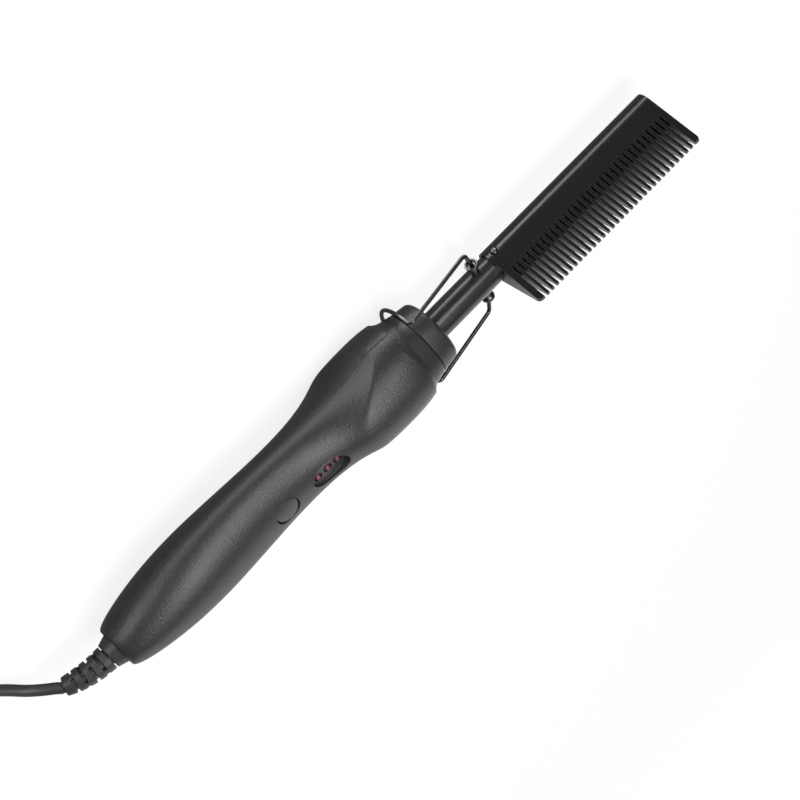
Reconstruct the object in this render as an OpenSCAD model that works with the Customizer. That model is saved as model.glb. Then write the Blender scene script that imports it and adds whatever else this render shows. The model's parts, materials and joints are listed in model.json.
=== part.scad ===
// Electric hot comb: a heated comb on a steel barrel, an oval two-shell handle and a folding wire stand.
// +X points to the comb's tip and +Z the way the teeth point. The origin is on the table, under the
// middle of the tool, and the tool's axis runs along X at half the bulge's height.

/* [Handle] */
// Length of the two shells, from the butt to the bulge's shoulder
handle_l = 153.8; // [140:0.1:170]
// Diameter of the flat butt end
butt_d = 16.4; // [15.6:0.1:18]
// Width of the grip at its widest
belly_w = 35.4; // [32:0.1:40]
// Height of the grip at its highest
belly_h = 28.2; // [27:0.1:32]
// Width of the waist behind the bulge
waist_w = 31; // [29:0.1:34]
// Height of the waist at the button
waist_h = 23.4; // [22.8:0.1:26]
// Diameter of the bulge in front of the hand
bulge_d = 38.8; // [37:0.1:43]
// Thickness of the moulded walls
shell_wall = 2; // [1.6:0.1:2.4]
// Step at the shells' joint in the side hollows
seam_step = 0.6; // [0.2:0.1:1]

/* [Neck and cap] */
// Length of the ring that clamps the shells together
neck_l = 7.1; // [6:0.1:9]
// Diameter of the ring at the shells
neck_d = 31.4; // [30:0.1:33]
// Length of the heat resistant cap
cap_l = 7.1; // [6:0.1:9]
// Diameter of the cap at the ring
cap_d = 28.8; // [28:0.1:30]
// Radius of the cap's front edge
cap_edge_r = 2.2; // [1:0.1:3]

/* [Barrel] */
// Outside diameter of the steel barrel
barrel_d = 12; // [11:0.1:13]
// Wall of the steel barrel
barrel_wall = 0.8; // [0.6:0.1:1]
// Length of barrel that shows between the cap and the comb
barrel_reach = 32.9; // [30:0.1:40]
// Depth of the barrel's seat in the comb
barrel_seat = 14; // [10:0.5:18]

/* [Comb] */
// Length of the comb
comb_l = 89.1; // [75:0.1:100]
// Diameter of the comb's round spine
spine_d = 14.1; // [13.8:0.1:16]
// Height from the barrel's axis to the teeth's tips
comb_h = 26.6; // [22:0.1:32]
// Thickness of the comb at the tips
tip_t = 1.4; // [1:0.1:2.4]
// Distance from one tooth to the next
tooth_pitch = 2.57; // [2:0.01:4]
// Width of the slots between the teeth
slot_w = 1.27; // [0.8:0.01:1.6]
// Height of the slots' roots above the barrel's axis
slot_root = 8.2; // [7.8:0.1:14]
// Thickness of the two end teeth
end_tooth = 2.7; // [2:0.1:6]
// Diameter of the heating rod
rod_d = 8; // [6:0.1:8.6]
// Length of solid metal between the heating rod's bore and the comb's tip
rod_end = 7; // [3:0.5:20]

/* [Stand] */
// Diameter of the stand's wire
wire_d = 1.5; // [1.2:0.1:2]
// Distance from the pivot to the foot's plane
stand_reach = 34.7; // [30:0.1:38]
// Width of the foot between the wire's centre lines
foot_w = 39.4; // [38:0.1:42]
// Depth of the foot's bottom below the barrel's axis when folded
foot_drop = 17.6; // [16.6:0.1:18]
// Distance from the barrel's axis to the outer face of a pivot stud
stud_out = 11.6; // [10:0.1:13]
// Distance from the comb to the pivot
pivot_gap = 7; // [6:0.1:9]
// Radial clearance of the wire in its stud
pivot_play = 0.05; // [0.02:0.01:0.1]

/* [Button and lamps] */
// Diameter of the power button
button_d = 10.8; // [9:0.1:12]
// Travel of the power button
button_travel = 0.6; // [0.3:0.1:0.8]
// Gap round the button
button_gap = 0.3; // [0.2:0.05:0.5]
// Distance from the button's centre to the bulge's shoulder
button_back = 74.3; // [72:0.1:78]
// Diameter of a lamp
lamp_d = 3; // [2.6:0.1:3.2]
// Distance from one lamp to the next
lamp_pitch = 5; // [4.6:0.1:5.2]
// Distance from the middle lamp to the bulge's shoulder
lamps_back = 52.4; // [51:0.1:53.6]
// Length of the lamps' recess
recess_l = 16.6; // [16:0.1:18]
// Width of the lamps' recess
recess_w = 10.4; // [8:0.1:11]
// Height of the recess's floor above the tool's axis
recess_z = 10.7; // [10.2:0.1:11]

/* [Cord] */
// Diameter of the mains cord
cord_d = 4.5; // [4:0.1:5]
// Width of the plug's face
plug_w = 35.3; // [34:0.1:36]
// Thickness of the plug
plug_t = 13.7; // [13:0.1:14]
// Diameter of the plug's round pins
pin_d = 4; // [3.9:0.01:4.1]
// Distance between the plug's pins
pin_pitch = 19; // [18:0.1:20]
// Length of the plug's pins
pin_l = 19; // [18:0.1:20]

/* [Hidden] */
$fn = 48;
fit = 0.05;                 // gap of a push fit, on the radius
cut = 1;                    // how far a cutting solid runs past the face it opens

overall_l = handle_l + neck_l + cap_l + barrel_reach + comb_l;
x_butt = -overall_l / 2;
x_shoulder = x_butt + handle_l;
x_cap = x_shoulder + neck_l;
x_face = x_cap + cap_l;
x_comb = x_face + barrel_reach;
x_tip = x_comb + comb_l;
x_pivot = x_comb - pivot_gap;
x_foot = x_pivot - stand_reach;
axis_z = bulge_d / 2;

butt_r = butt_d / 2;
bulge_r = bulge_d / 2;
barrel_r = barrel_d / 2;
barrel_bore_r = barrel_r - barrel_wall;
spine_r = spine_d / 2;
wire_r = wire_d / 2;
cord_r = cord_d / 2;

// Where the handle's main widths and heights lie, measured from the butt
belly_w_at = 50;
belly_h_at = 34;
waist_w_at = handle_l - 41.8;
waist_h_at = handle_l - 66.8;
bulge_at = handle_l - 16.8;
button_at = handle_l - button_back;
lamps_at = handle_l - lamps_back;
rise_l = 39;                // from the waist to the bulge's full height
shoulder_l = 3;             // length of the bulge's rounded front edge
shoulder_drop = 1.1;        // how much the bulge falls before that edge
edge_drop = 2.5;            // how much the rounded edge itself falls
hollow_l = 31.5;            // length of the side hollows, from the waist
hollow_rise = 3.6;          // how far they widen over that length
hollow_from = 8;            // from the waist to where their upper border starts to slope
hollow_flare = 0.5;         // slope of the hollows' upper border

// ---------- shape of the handle ----------

// Smooth step from 0 to 1, with bias above 1 to start it slower
function ease(u, bias = 1) = pow(sin(90 * pow(min(1, max(0, u)), bias)), 2);
function mix(a, b, u) = a + (b - a) * u;

// Half height of the handle at s from the butt
function half_h(s) =
    s < belly_h_at ? mix(butt_r, belly_h / 2, pow(sin(90 * s / belly_h_at), 0.45))
    : s < waist_h_at ? mix(belly_h / 2, waist_h / 2, ease((s - belly_h_at) / (waist_h_at - belly_h_at)))
    : s < bulge_at ? mix(waist_h / 2, bulge_r, ease((s - waist_h_at) / rise_l, 1.5))
    : s < handle_l - shoulder_l
        ? bulge_r - shoulder_drop * pow((s - bulge_at) / (handle_l - shoulder_l - bulge_at), 2)
    : bulge_r - shoulder_drop
        - edge_drop * (1 - sqrt(max(0, 1 - pow((s - handle_l + shoulder_l) / shoulder_l, 2))));

// Half width of the grip, which runs on into the hollows in the bulge's sides
function half_w(s) =
    s < belly_w_at ? mix(butt_r, belly_w / 2, pow(sin(90 * s / belly_w_at), 0.8))
    : s < waist_w_at ? mix(belly_w / 2, waist_w / 2, ease((s - belly_w_at) / (waist_w_at - belly_w_at), 1.2))
    : waist_w / 2 + hollow_rise * pow((s - waist_w_at) / hollow_l, 1.8);

function oval_r(w, h, a) = 1 / sqrt(pow(cos(a) / w, 2) + pow(sin(a) / h, 2));

// Step of the lower shell at the joint, inside the hollows only
function step_at(s) =
    seam_step * min(1, max(0, (s - waist_w_at) / 12)) * min(1, max(0, (waist_w_at + hollow_l - s) / 1.5));

// Radius of the handle at s and at angle a from +Y: the oval grip, cut back by the round bulge
function handle_r(s, a, step = 0) =
    let (h = half_h(s), w = half_w(s))
    let (flare = hollow_flare * max(0, s - waist_w_at - hollow_from))
    min(oval_r(w - step * step_at(s), h + flare, a), oval_r(max(w, h), h, a));

// Stations along the handle, closer together where the shape turns fast
outer_stations = concat(
    [for (i = [0:6]) 14 * pow(i / 6, 2)],
    [for (s = [19:5:waist_w_at - 13]) s],
    [for (s = [waist_w_at - 9:2.5:handle_l - shoulder_l - 1]) s],
    [for (a = [0:18:90]) handle_l - shoulder_l + shoulder_l * sin(a)]
);
inner_stations = concat([for (s = [2.5, 4, 7, 11]) s], [for (s = [16:6:handle_l - 4]) s]);

// Solid through closed sections, each a list of as many points
module loft(sections) {
    n = len(sections[0]);
    m = len(sections);
    polyhedron(
        points = [for (sec = sections) for (p = sec) p],
        faces = concat(
            [for (i = [0:m - 2]) for (j = [0:n - 1])
                [i * n + j, (i + 1) * n + j, (i + 1) * n + (j + 1) % n]],
            [for (i = [0:m - 2]) for (j = [0:n - 1])
                [i * n + j, (i + 1) * n + (j + 1) % n, i * n + (j + 1) % n]],
            [[for (j = [0:n - 1]) j]],
            [[for (j = [0:n - 1]) (m - 1) * n + n - 1 - j]]
        )
    );
}

// One half of the handle's outside: side is 1 for the upper shell and -1 for the lower
module half_handle(side) {
    seg = 26;
    loft([for (s = outer_stations)
        [for (j = [0:seg]) let (a = side > 0 ? 180 * j / seg : -180 + 180 * j / seg)
            let (r = handle_r(s, a, side > 0 ? 0 : 1)) [s, r * cos(a), r * sin(a)]]]);
}

// The hollow inside both shells
module handle_cavity() {
    seg = 28;
    loft([for (s = inner_stations)
        [for (j = [0:seg - 1]) let (a = 360 * j / seg, r = handle_r(s, a, 1) - shell_wall)
            [s, r * cos(a), r * sin(a)]]]);
}

// ---------- helpers ----------

module on_axis() { translate([0, 0, axis_z]) children(); }
module from_butt() { translate([x_butt, 0, axis_z]) children(); }
module along_x(x) { translate([x, 0, 0]) rotate([0, 90, 0]) children(); }

module rod_x(x0, x1, r, y = 0, z = 0) {
    translate([x0, y, z]) rotate([0, 90, 0]) cylinder(h = x1 - x0, r = r);
}

module ring_x(x0, x1, r_out, r_in) {
    difference() {
        rod_x(x0, x1, r_out);
        rod_x(x0 - cut, x1 + cut, r_in);
    }
}

module post(x, y, z0, z1, r) { translate([x, y, z0]) cylinder(h = z1 - z0, r = r); }
module block(x0, x1, w, z0, z1, y = 0) { translate([x0, y - w / 2, z0]) cube([x1 - x0, w, z1 - z0]); }

function unit(v) = v / norm(v);

// Directions square to each tangent t, turning no more than they must
function square_to(t, i = 0, last = [0, 0, 1], found = []) =
    i == len(t) ? found
    : let (u = unit(last - t[i] * (last * t[i]))) square_to(t, i + 1, u, concat(found, [u]));

// Tube swept through points, with flat ends square to its first and last stretch
module swept(points, r, sides = 8) {
    n = len(points);
    t = [for (i = [0:n - 1]) unit(points[min(i + 1, n - 1)] - points[max(i - 1, 0)])];
    u = square_to(t);
    loft([for (i = [0:n - 1]) let (v = cross(t[i], u[i]))
        [for (j = [0:sides - 1]) let (a = 360 * j / sides) points[i] + r * (cos(a) * u[i] + sin(a) * v)]]);
}

// Points of a path whose inner corners are bends, each with its own radius, at steps of about 11 degrees
function bent_path(points, radii) = let (n = len(points)) [for (i = [0:n - 1])
    if (i == 0 || i == n - 1) points[i]
    else let (
        a = unit(points[i] - points[i - 1]), b = unit(points[i + 1] - points[i]), turn = acos(a * b),
        r = radii[i - 1], q = unit(b - a * (a * b)), start = points[i] - a * r * tan(turn / 2),
        steps = ceil(turn / 11.3)
    ) each [for (k = [0:steps]) let (w = turn * k / steps) start + a * r * sin(w) + q * r * (1 - cos(w))]];

// ---------- handle shells ----------

boot_neck_r = 5;            // the strain relief's neck in the butt wall
butt_wall = 2.5;
nose_bore_r = 9.4;          // the shells' bore round the barrel's bush
spigot_r = 12.4;            // the shells' nose, which the neck ring slides over
tip_spigot_r = 10.9;        // the nose's end, which the cap slides over
nose_l = neck_l + cap_l - 3.6;
rib_at = bulge_at + 0.5;    // the rib that holds the bush
rib_t = 3;
screw_stations = [24, button_at - 19.5, lamps_at + 20.6];
screw_seat = 6;             // depth of the screw heads' seats below the joint
screw_l = 2 * screw_seat;
screw_r = 1.2;
screw_head_r = 2.5;
boss_r = 3.4;
clear = 0.3;                // gap round what isn't a fit
solder = 0.02;              // how near a wire's end, or the plug, comes to what it touches
board_z = 1.4;              // underside of the circuit board
board_t = 1.6;
board_back = screw_stations[1] + boss_r + 1.1;
board_front = screw_stations[2] - boss_r - 1.1;
board_screw_stations = [board_back + 4.5, board_front - 3];
board_screw_r = 0.8;
board_screw_l = 6;
recess_floor_t = 1.5;
button_hole_r = button_d / 2 + button_gap;
lamp_hole_r = lamp_d / 2 + 0.4;

module nose(side) {
    intersection() {
        union() {
            ring_x(handle_l - cut, handle_l + neck_l - fit, spigot_r, nose_bore_r);
            ring_x(handle_l - cut, handle_l + nose_l, tip_spigot_r, nose_bore_r);
        }
        block(0, handle_l + nose_l + cut, 2 * bulge_d, min(0, side * bulge_d), max(0, side * bulge_d));
    }
}

module recess_outline(grow = 0) {
    polygon([for (a = [0:12:348]) [(recess_l / 2 + grow) * cos(a), (recess_w / 2 + grow) * sin(a)]]);
}

module upper_shell() {
    color([0.27, 0.27, 0.28]) from_butt() difference() {
        union() {
            difference() {
                half_handle(1);
                difference() {
                    handle_cavity();
                    rod_x(rib_at, rib_at + rib_t, bulge_d);
                    translate([lamps_at, 0, recess_z - recess_floor_t])
                        linear_extrude(bulge_d) recess_outline(shell_wall);
                    for (s = screw_stations) post(s, 0, 0, bulge_d, boss_r);
                    for (s = board_screw_stations) post(s, 0, board_z + board_t, bulge_d, boss_r - 1);
                }
            }
            nose(1);
        }
        translate([lamps_at, 0, recess_z]) linear_extrude(bulge_d) recess_outline();
        for (i = [-1:1]) post(lamps_at + i * lamp_pitch, 0, 0, bulge_d, lamp_hole_r);
        post(button_at, 0, 0, bulge_d, button_hole_r);
        rod_x(-cut, butt_wall + cut, boot_neck_r + fit);
        rod_x(rib_at - cut, handle_l + cut, nose_bore_r);
        for (s = screw_stations) post(s, 0, -cut, half_h(s) - shell_wall - 1, screw_r + 0.02);
        for (s = board_screw_stations) post(s, 0, 0, board_z + board_screw_l + 0.6, board_screw_r + 0.02);
    }
}

module lower_shell() {
    color([0.25, 0.25, 0.26]) from_butt() difference() {
        union() {
            difference() {
                half_handle(-1);
                difference() {
                    handle_cavity();
                    rod_x(rib_at, rib_at + rib_t, bulge_d);
                    for (s = screw_stations) post(s, 0, -bulge_d, 0, boss_r);
                    block(clamp_at, clamp_at + clamp_l, 2 * clamp_screw_y + 6, -bulge_d, -cord_r - 0.05);
                }
            }
            nose(-1);
        }
        rod_x(-cut, butt_wall + cut, boot_neck_r + fit);
        rod_x(rib_at - cut, handle_l + cut, nose_bore_r);
        for (s = screw_stations) {
            post(s, 0, -bulge_d, -screw_seat, screw_head_r + clear);
            post(s, 0, -bulge_d, cut, screw_r + 0.2);
        }
        for (y = [-1, 1])
            post(clamp_at + clamp_l / 2, y * clamp_screw_y, -8, 0, clamp_screw_r + 0.02);
    }
}

module pan_screw(head_r, head_h, shank_r, shank_l) {
    difference() {
        union() {
            translate([0, 0, -head_h]) cylinder(h = head_h * 0.6, r1 = head_r * 0.7, r2 = head_r);
            translate([0, 0, -head_h * 0.4]) cylinder(h = head_h * 0.4, r = head_r);
            translate([0, 0, -0.01]) cylinder(h = shank_l, r = shank_r);
        }
        for (a = [0, 90]) rotate([0, 0, a])
            translate([-head_r * 0.55, -head_r * 0.12, -head_h - cut])
                cube([head_r * 1.1, head_r * 0.24, cut + head_h * 0.5]);
    }
}

module shell_screws() {
    color("silver") from_butt()
        for (s = screw_stations)
            translate([s, 0, -screw_seat]) pan_screw(screw_head_r, 1.8, screw_r, screw_l);
}

// ---------- neck, cap and barrel ----------

neck_front_r = cap_d / 2 + 0.1;
seam = 0.15;                // the thin joint between the ring and the cap
end_gap = 0.05;             // the one between the shells and the ring

module neck_ring() {
    color([0.26, 0.26, 0.27]) on_axis() along_x(x_shoulder) rotate_extrude()
        polygon([
            [spigot_r + fit, end_gap], [neck_d / 2, end_gap],
            [neck_front_r, neck_l - seam], [spigot_r + fit, neck_l - seam]
        ]);
}

module front_cap() {
    front_r = cap_d / 2 - 0.9;
    front = cap_l - seam;
    inside = front - 2.5;
    color([0.24, 0.24, 0.25]) on_axis() along_x(x_cap + seam) rotate_extrude()
        polygon(concat(
            [[tip_spigot_r + fit, 0], [cap_d / 2, 0]],
            [for (a = [0:15:90])
                [front_r - cap_edge_r + cap_edge_r * cos(a), front - cap_edge_r + cap_edge_r * sin(a)]],
            [[barrel_r + fit, front], [barrel_r + fit, inside], [tip_spigot_r + fit, inside]]
        ));
}

// Ceramic bush, held by the shells' rib in its groove
module barrel_bush() {
    bush_back = rib_at - 3.5;
    color("ivory") from_butt() difference() {
        union() {
            rod_x(bush_back, rib_at - fit, nose_bore_r + 2);
            rod_x(rib_at - 0.1, handle_l + nose_l, nose_bore_r - fit);
        }
        rod_x(bush_back - cut, handle_l + nose_l + cut, barrel_r + 0.02);
    }
}

barrel_back = rib_at - 9.5; // the barrel's inner end, from the butt
stud_hole_r = 1.3;
comb_screw_at = 3.8;        // from the comb's face
comb_screw_r = 0.98;

module barrel() {
    color([0.22, 0.22, 0.23]) on_axis() difference() {
        ring_x(x_butt + barrel_back, x_comb + barrel_seat, barrel_r, barrel_bore_r);
        translate([x_pivot, 0, 0]) rotate([90, 0, 0])
            cylinder(h = 2 * barrel_d, r = stud_hole_r + 0.02, center = true);
        translate([x_comb + comb_screw_at, 0, 0]) rotate([-90, 0, 0])
            cylinder(h = barrel_d, r = comb_screw_r + 0.02);
    }
}

// ---------- comb ----------

slot_count = floor((comb_l - 2 * end_tooth - slot_w) / tooth_pitch) + 1;
first_slot = (comb_l - (slot_count - 1) * tooth_pitch) / 2;
slot_corner_r = 0.35;
rod_bore_r = rod_d / 2 + 0.05;
rod_back = 1.1;             // from the barrel's seat to the heating rod
rod_from = x_comb + barrel_seat + rod_back;
rod_to = x_tip - rod_end - 1;
comb_screw_head_r = 1.55;
comb_screw_y = spine_r - 0.3;
face_reach = norm([tip_t / 2, comb_h]);
face_lean = asin(spine_r / face_reach) - atan2(tip_t / 2, comb_h);

// Cross-section of the comb, with its flat faces tangent to the round spine
module comb_section() {
    circle(r = spine_r);
    y = spine_r * cos(face_lean);
    z = spine_r * sin(face_lean);
    polygon([[y, z], [tip_t / 2, comb_h], [-tip_t / 2, comb_h], [-y, z]]);
}

// What rounds off a corner of radius r at the origin, seen along Y
module corner_cutter(r, side) {
    translate([0, spine_d, 0]) rotate([90, 0, 0]) linear_extrude(2 * spine_d) difference() {
        translate([side > 0 ? -cut : -r, -r]) square([r + cut, r + cut]);
        translate([side * r, -r]) circle(r = r);
    }
}

// A slot seen along Y, with its flat root at the origin and a round in each corner
module slot_outline() {
    half = slot_w / 2 - slot_corner_r;
    translate([-slot_w / 2, slot_corner_r]) square([slot_w, comb_h]);
    translate([-half, 0]) square([2 * half, comb_h]);
    for (side = [-1, 1]) translate([side * half, slot_corner_r]) circle(r = slot_corner_r);
}

module comb() {
    color([0.05, 0.05, 0.055]) on_axis() difference() {
        translate([x_comb, 0, 0]) rotate([90, 0, 90]) linear_extrude(comb_l) comb_section();
        for (i = [0:slot_count - 1]) translate([x_comb + first_slot + i * tooth_pitch, spine_d, slot_root])
            rotate([90, 0, 0]) linear_extrude(2 * spine_d) slot_outline();
        rod_x(x_comb - cut, x_comb + barrel_seat, barrel_r + 0.02);
        rod_x(x_comb, x_tip - rod_end, rod_bore_r);
        translate([x_comb + comb_screw_at, 0, 0]) rotate([-90, 0, 0])
            cylinder(h = spine_d, r = comb_screw_r + 0.1);
        translate([x_comb + comb_screw_at, comb_screw_y, 0]) rotate([-90, 0, 0])
            cylinder(h = spine_d, r = comb_screw_head_r + clear);
        translate([x_comb, 0, comb_h]) corner_cutter(2, 1);
        translate([x_tip, 0, comb_h]) corner_cutter(1.2, -1);
    }
}

module comb_screw() {
    color("dimgray") on_axis() translate([x_comb + comb_screw_at, comb_screw_y, 0])
        rotate([90, 0, 0]) pan_screw(comb_screw_head_r, 1.2, comb_screw_r, spine_r - barrel_bore_r + 0.4);
}

module heating_rod() {
    color("lightgray") on_axis() rod_x(rod_from, rod_to, rod_d / 2);
}

// Places of the wires and the sleeve in the barrel, those along X measured from the butt
wire_y = 1.6;
sensor_y = 1;
sensor_z = -3;
sensor_l = 4;
sleeve_back = barrel_back + 5;
sleeve_front = x_pivot - x_butt - 4.9;
fuse_l = 10;
fuse_at = sleeve_front - fuse_l - 3;
sensor_at = x_comb + barrel_seat - sensor_l - x_butt;

module heat_sensor() {
    color("peru") from_butt() rod_x(sensor_at, sensor_at + sensor_l, 1.4, 0, sensor_z);
}

module thermal_fuse() {
    color("white") from_butt() rod_x(fuse_at, fuse_at + fuse_l, 1.25, wire_y, 0);
}

module wire_sleeve() {
    color("beige") from_butt() ring_x(sleeve_back, sleeve_front, barrel_bore_r - 0.1, barrel_bore_r - 0.6);
}

// ---------- stand ----------

stud_r = 1.8;
stud_cup_r = 2.75;
stud_cup_l = 1.9;
stud_cup_depth = 0.6;
stud_bore_r = wire_r + pivot_play;
stud_bore_end = barrel_r + 0.4;
rivet_r = 1.9;              // the stud's upset end inside the barrel
rivet_out = sqrt(pow(barrel_bore_r, 2) - pow(rivet_r, 2)) - 0.1;

// Turned stud, riveted into the barrel: a cup with a rounded back and a blind bore for the wire
module stud(side) {
    seat = barrel_r + 0.02;
    translate([x_pivot, 0, 0]) rotate([-90 * side, 0, 0]) rotate_extrude() polygon([
        [0, rivet_out - 0.7], [rivet_r, rivet_out - 0.7], [rivet_r, rivet_out], [stud_hole_r, rivet_out],
        [stud_hole_r, seat], [stud_r, seat], [stud_r, stud_out - stud_cup_l],
        each [for (a = [15:15:90])
            [stud_r + (stud_cup_r - stud_r) * sin(a), stud_out - 0.5 - (stud_cup_l - 0.5) * cos(a)]],
        [stud_cup_r, stud_out], [stud_cup_r - 0.5, stud_out], [stud_bore_r + 0.5, stud_out - stud_cup_depth],
        [stud_bore_r, stud_out - stud_cup_depth], [stud_bore_r, stud_bore_end], [0, stud_bore_end]
    ]);
}

module stand_studs() {
    color("dimgray") on_axis() for (side = [-1, 1]) stud(side);
}

// One bent wire: pins in both studs, legs along the barrel and a round foot that clears the cap
module wire_stand() {
    half_w = foot_w / 2;
    arm_y = half_w - 1;
    elbow_z = 5.9;          // the legs rise a little from the pivot to the foot
    bend_r = 2;
    pin_in = stud_bore_end + 0.4;
    pin_out = stud_out + 3;
    side_points = [
        [x_pivot, pin_out, 0], [x_pivot, arm_y, 0], [x_foot, half_w, elbow_z], [x_foot, half_w, -foot_drop]
    ];
    other_side = [for (i = [3:-1:0]) [side_points[i][0], -side_points[i][1], side_points[i][2]]];
    path = bent_path(concat(side_points, other_side), [bend_r, bend_r, half_w, half_w, bend_r, bend_r]);
    // The two bends of the foot meet at its bottom, so one of their two points there is left out
    middle = len(path) / 2;
    sides = 12;
    tube_r = wire_r / cos(180 / sides) + 0.003;
    color([0.2, 0.2, 0.2]) on_axis() {
        // The tube's flats lie just outside the pins, which end inside it
        swept([for (i = [0:len(path) - 1]) if (i != middle) path[i]], tube_r, sides);
        for (side = [-1, 1]) translate([x_pivot, side * pin_in, 0])
            rotate([-90 * side, 0, 0]) cylinder(h = pin_out - pin_in + 0.3, r = wire_r);
    }
}

// ---------- button, lamps and electronics ----------

board_top = board_z + board_t;
button_crown = 0.6;
button_top = waist_h / 2 + 0.05;
flange_top = waist_h / 2 - shell_wall - 1.6;
flange_t = 0.5;
plunger_r = 1.75;
plunger_l = 1.5;
plunger_top = flange_top - flange_t - 0.3;
switch_top = plunger_top - 0.8;
switch_floor = plunger_top - plunger_l - button_travel - 0.6;
switch_half = 3;

module power_button() {
    r = button_d / 2;
    dome_r = (r * r + button_crown * button_crown) / (2 * button_crown);
    color([0.29, 0.29, 0.3]) from_butt() translate([button_at, 0, 0]) {
        intersection() {
            post(0, 0, flange_top - 0.1, button_top + cut, r);
            translate([0, 0, button_top - dome_r]) sphere(r = dome_r, $fn = 96);
        }
        post(0, 0, flange_top - flange_t, flange_top, r + 1);
        post(0, 0, plunger_top, flange_top - flange_t + 0.1, plunger_r);
    }
}

module switch_plunger() {
    color("black") from_butt() post(button_at, 0, plunger_top - plunger_l, plunger_top, plunger_r);
}

module switch_body() {
    color("gray") from_butt() difference() {
        block(button_at - switch_half, button_at + switch_half, 2 * switch_half, board_top, switch_top);
        post(button_at, 0, switch_floor, switch_top + cut, plunger_r + 0.06);
    }
}

module lamps() {
    lamp_r = lamp_d / 2;
    dome_z = recess_z + 0.6 - lamp_r;
    color([0.55, 0.05, 0.1]) from_butt() for (i = [-1:1]) translate([lamps_at + i * lamp_pitch, 0, 0]) {
        post(0, 0, dome_z - 3.5, dome_z, lamp_r);
        translate([0, 0, dome_z]) sphere(r = lamp_r);
        post(0, 0, dome_z - 4.3, dome_z - 3.4, lamp_r + 0.4);
        for (y = [-1.27, 1.27]) post(0, y, board_top, dome_z - 4.2, 0.25);
    }
}

board_w = 17;

module circuit_board() {
    color("darkgreen") from_butt() difference() {
        block(board_back, board_front, board_w, board_z, board_top);
        for (s = board_screw_stations) post(s, 0, 0, board_top + cut, 1.1);
    }
}

module board_screws() {
    color("silver") from_butt()
        for (s = board_screw_stations)
            translate([s, 0, board_z]) pan_screw(1.8, 1.2, board_screw_r, board_screw_l);
}

module film_capacitor() {
    color("gold") from_butt() block(lamps_at - 7.4, lamps_at + 4.6, 6, board_z - 8, board_z, 4);
}

module round_capacitor() {
    color("navy") from_butt() post(lamps_at - 15.4, 0, board_z - 7, board_z, 3.15);
}

module triac() {
    color("black") from_butt() block(lamps_at - 5.4, lamps_at + 2.6, 4.5, board_z - 9, board_z, -4);
}

module control_chip() {
    color("black") from_butt() block(lamps_at - 15.4, lamps_at - 10.4, 6, board_top, board_top + 1.5);
}

heater_y = 4.2;             // where the wires leave the board
sensor_board_y = 5.6;       // and the mains wires', at its other end
wire_board_z = 2.2;
wires_turn = barrel_back - 3;
heater_x = rod_from - x_butt;
heater_wire_r = 0.6;
sensor_wire_r = 0.4;
mains_wire_r = 0.75;

module heater_wires() {
    color("white") from_butt() {
        for (side = [-1, 1]) swept([
            [board_front + solder, side * heater_y, wire_board_z],
            [board_front + 1, side * heater_y, wire_board_z],
            [wires_turn + 1, side * heater_y, 1.5], [barrel_back + 3, side * wire_y, 0],
            [side > 0 ? fuse_at : heater_x, side * wire_y, 0]
        ], heater_wire_r);
        swept([[fuse_at + fuse_l, wire_y, 0], [heater_x, wire_y, 0]], heater_wire_r);
    }
}

module sensor_wires() {
    color("red") from_butt() for (side = [-1, 1]) swept([
        [board_front + solder, side * sensor_board_y, wire_board_z],
        [board_front + 1, side * sensor_board_y, wire_board_z], [wires_turn, side * sensor_board_y, -1],
        [barrel_back + 3, side * sensor_y, sensor_z], [sensor_at, side * sensor_y, sensor_z]
    ], sensor_wire_r);
}

module mains_wires() {
    past_boss_y = boss_r + mains_wire_r + 0.35;
    color("sienna") from_butt() for (side = [-1, 1]) swept([
        [inner_cord_end + solder, side, 0], [inner_cord_end + 0.4, side, 0],
        [inner_cord_end + 3.5, side * past_boss_y, 0], [board_back - 8.5, side * past_boss_y, 0],
        [board_back - 1, side * sensor_board_y, wire_board_z],
        [board_back - solder, side * sensor_board_y, wire_board_z]
    ], mains_wire_r);
}

// ---------- cord ----------

clamp_at = 10;
clamp_l = 6;
clamp_screw_y = 4.8;
clamp_screw_r = 0.9;
clamp_top = cord_r + 1.8;
inner_cord_end = clamp_at + clamp_l + 2.5;
flange_r = 7;
flange_l = 2;

module inner_cord() {
    color([0.12, 0.12, 0.12]) from_butt() rod_x(butt_wall + flange_l + 0.1, inner_cord_end, cord_r);
}

module cord_clamp() {
    color("dimgray") from_butt() difference() {
        block(clamp_at, clamp_at + clamp_l, 2 * clamp_screw_y + 5, -0.6, clamp_top);
        rod_x(clamp_at - cut, clamp_at + clamp_l + cut, cord_r);
        block(clamp_at - cut, clamp_at + clamp_l + cut, 2 * cord_r, -cord_r, 0);
        for (y = [-1, 1])
            post(clamp_at + clamp_l / 2, y * clamp_screw_y, -cord_r, clamp_top + cut, clamp_screw_r + 0.2);
    }
}

module clamp_screws() {
    color("silver") from_butt() for (y = [-1, 1])
        translate([clamp_at + clamp_l / 2, y * clamp_screw_y, clamp_top])
            mirror([0, 0, 1]) pan_screw(1.7, 1.2, clamp_screw_r, 9);
}

// The strain relief droops under the cord's weight: d is the distance from the butt
droop_from = 4.6;
function droop(d) = pow(max(0, d - droop_from), 2);
function relief_at(d) = [-d, 0.003 * droop(d), -0.0106 * droop(d)];
function relief_dir(d) = unit(relief_at(d + 0.1) - relief_at(d - 0.1));
relief_cone_l = 4.3;
relief_r0 = 6.7;
relief_r1 = 5.4;
relief_core_r = 3.1;
relief_web = 1.6;
// Each rib: where it starts, where it ends, its radius there and there
relief_ribs = [
    [4.8, 7.6, 5.2, 5.1], [8.9, 11.4, 5, 4.9], [12.7, 15.1, 4.75, 4.65], [16.3, 18.8, 4.5, 4.35],
    [20, 23.2, 4.1, 3.6]
];
relief_end = relief_ribs[len(relief_ribs) - 1][1];

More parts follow.
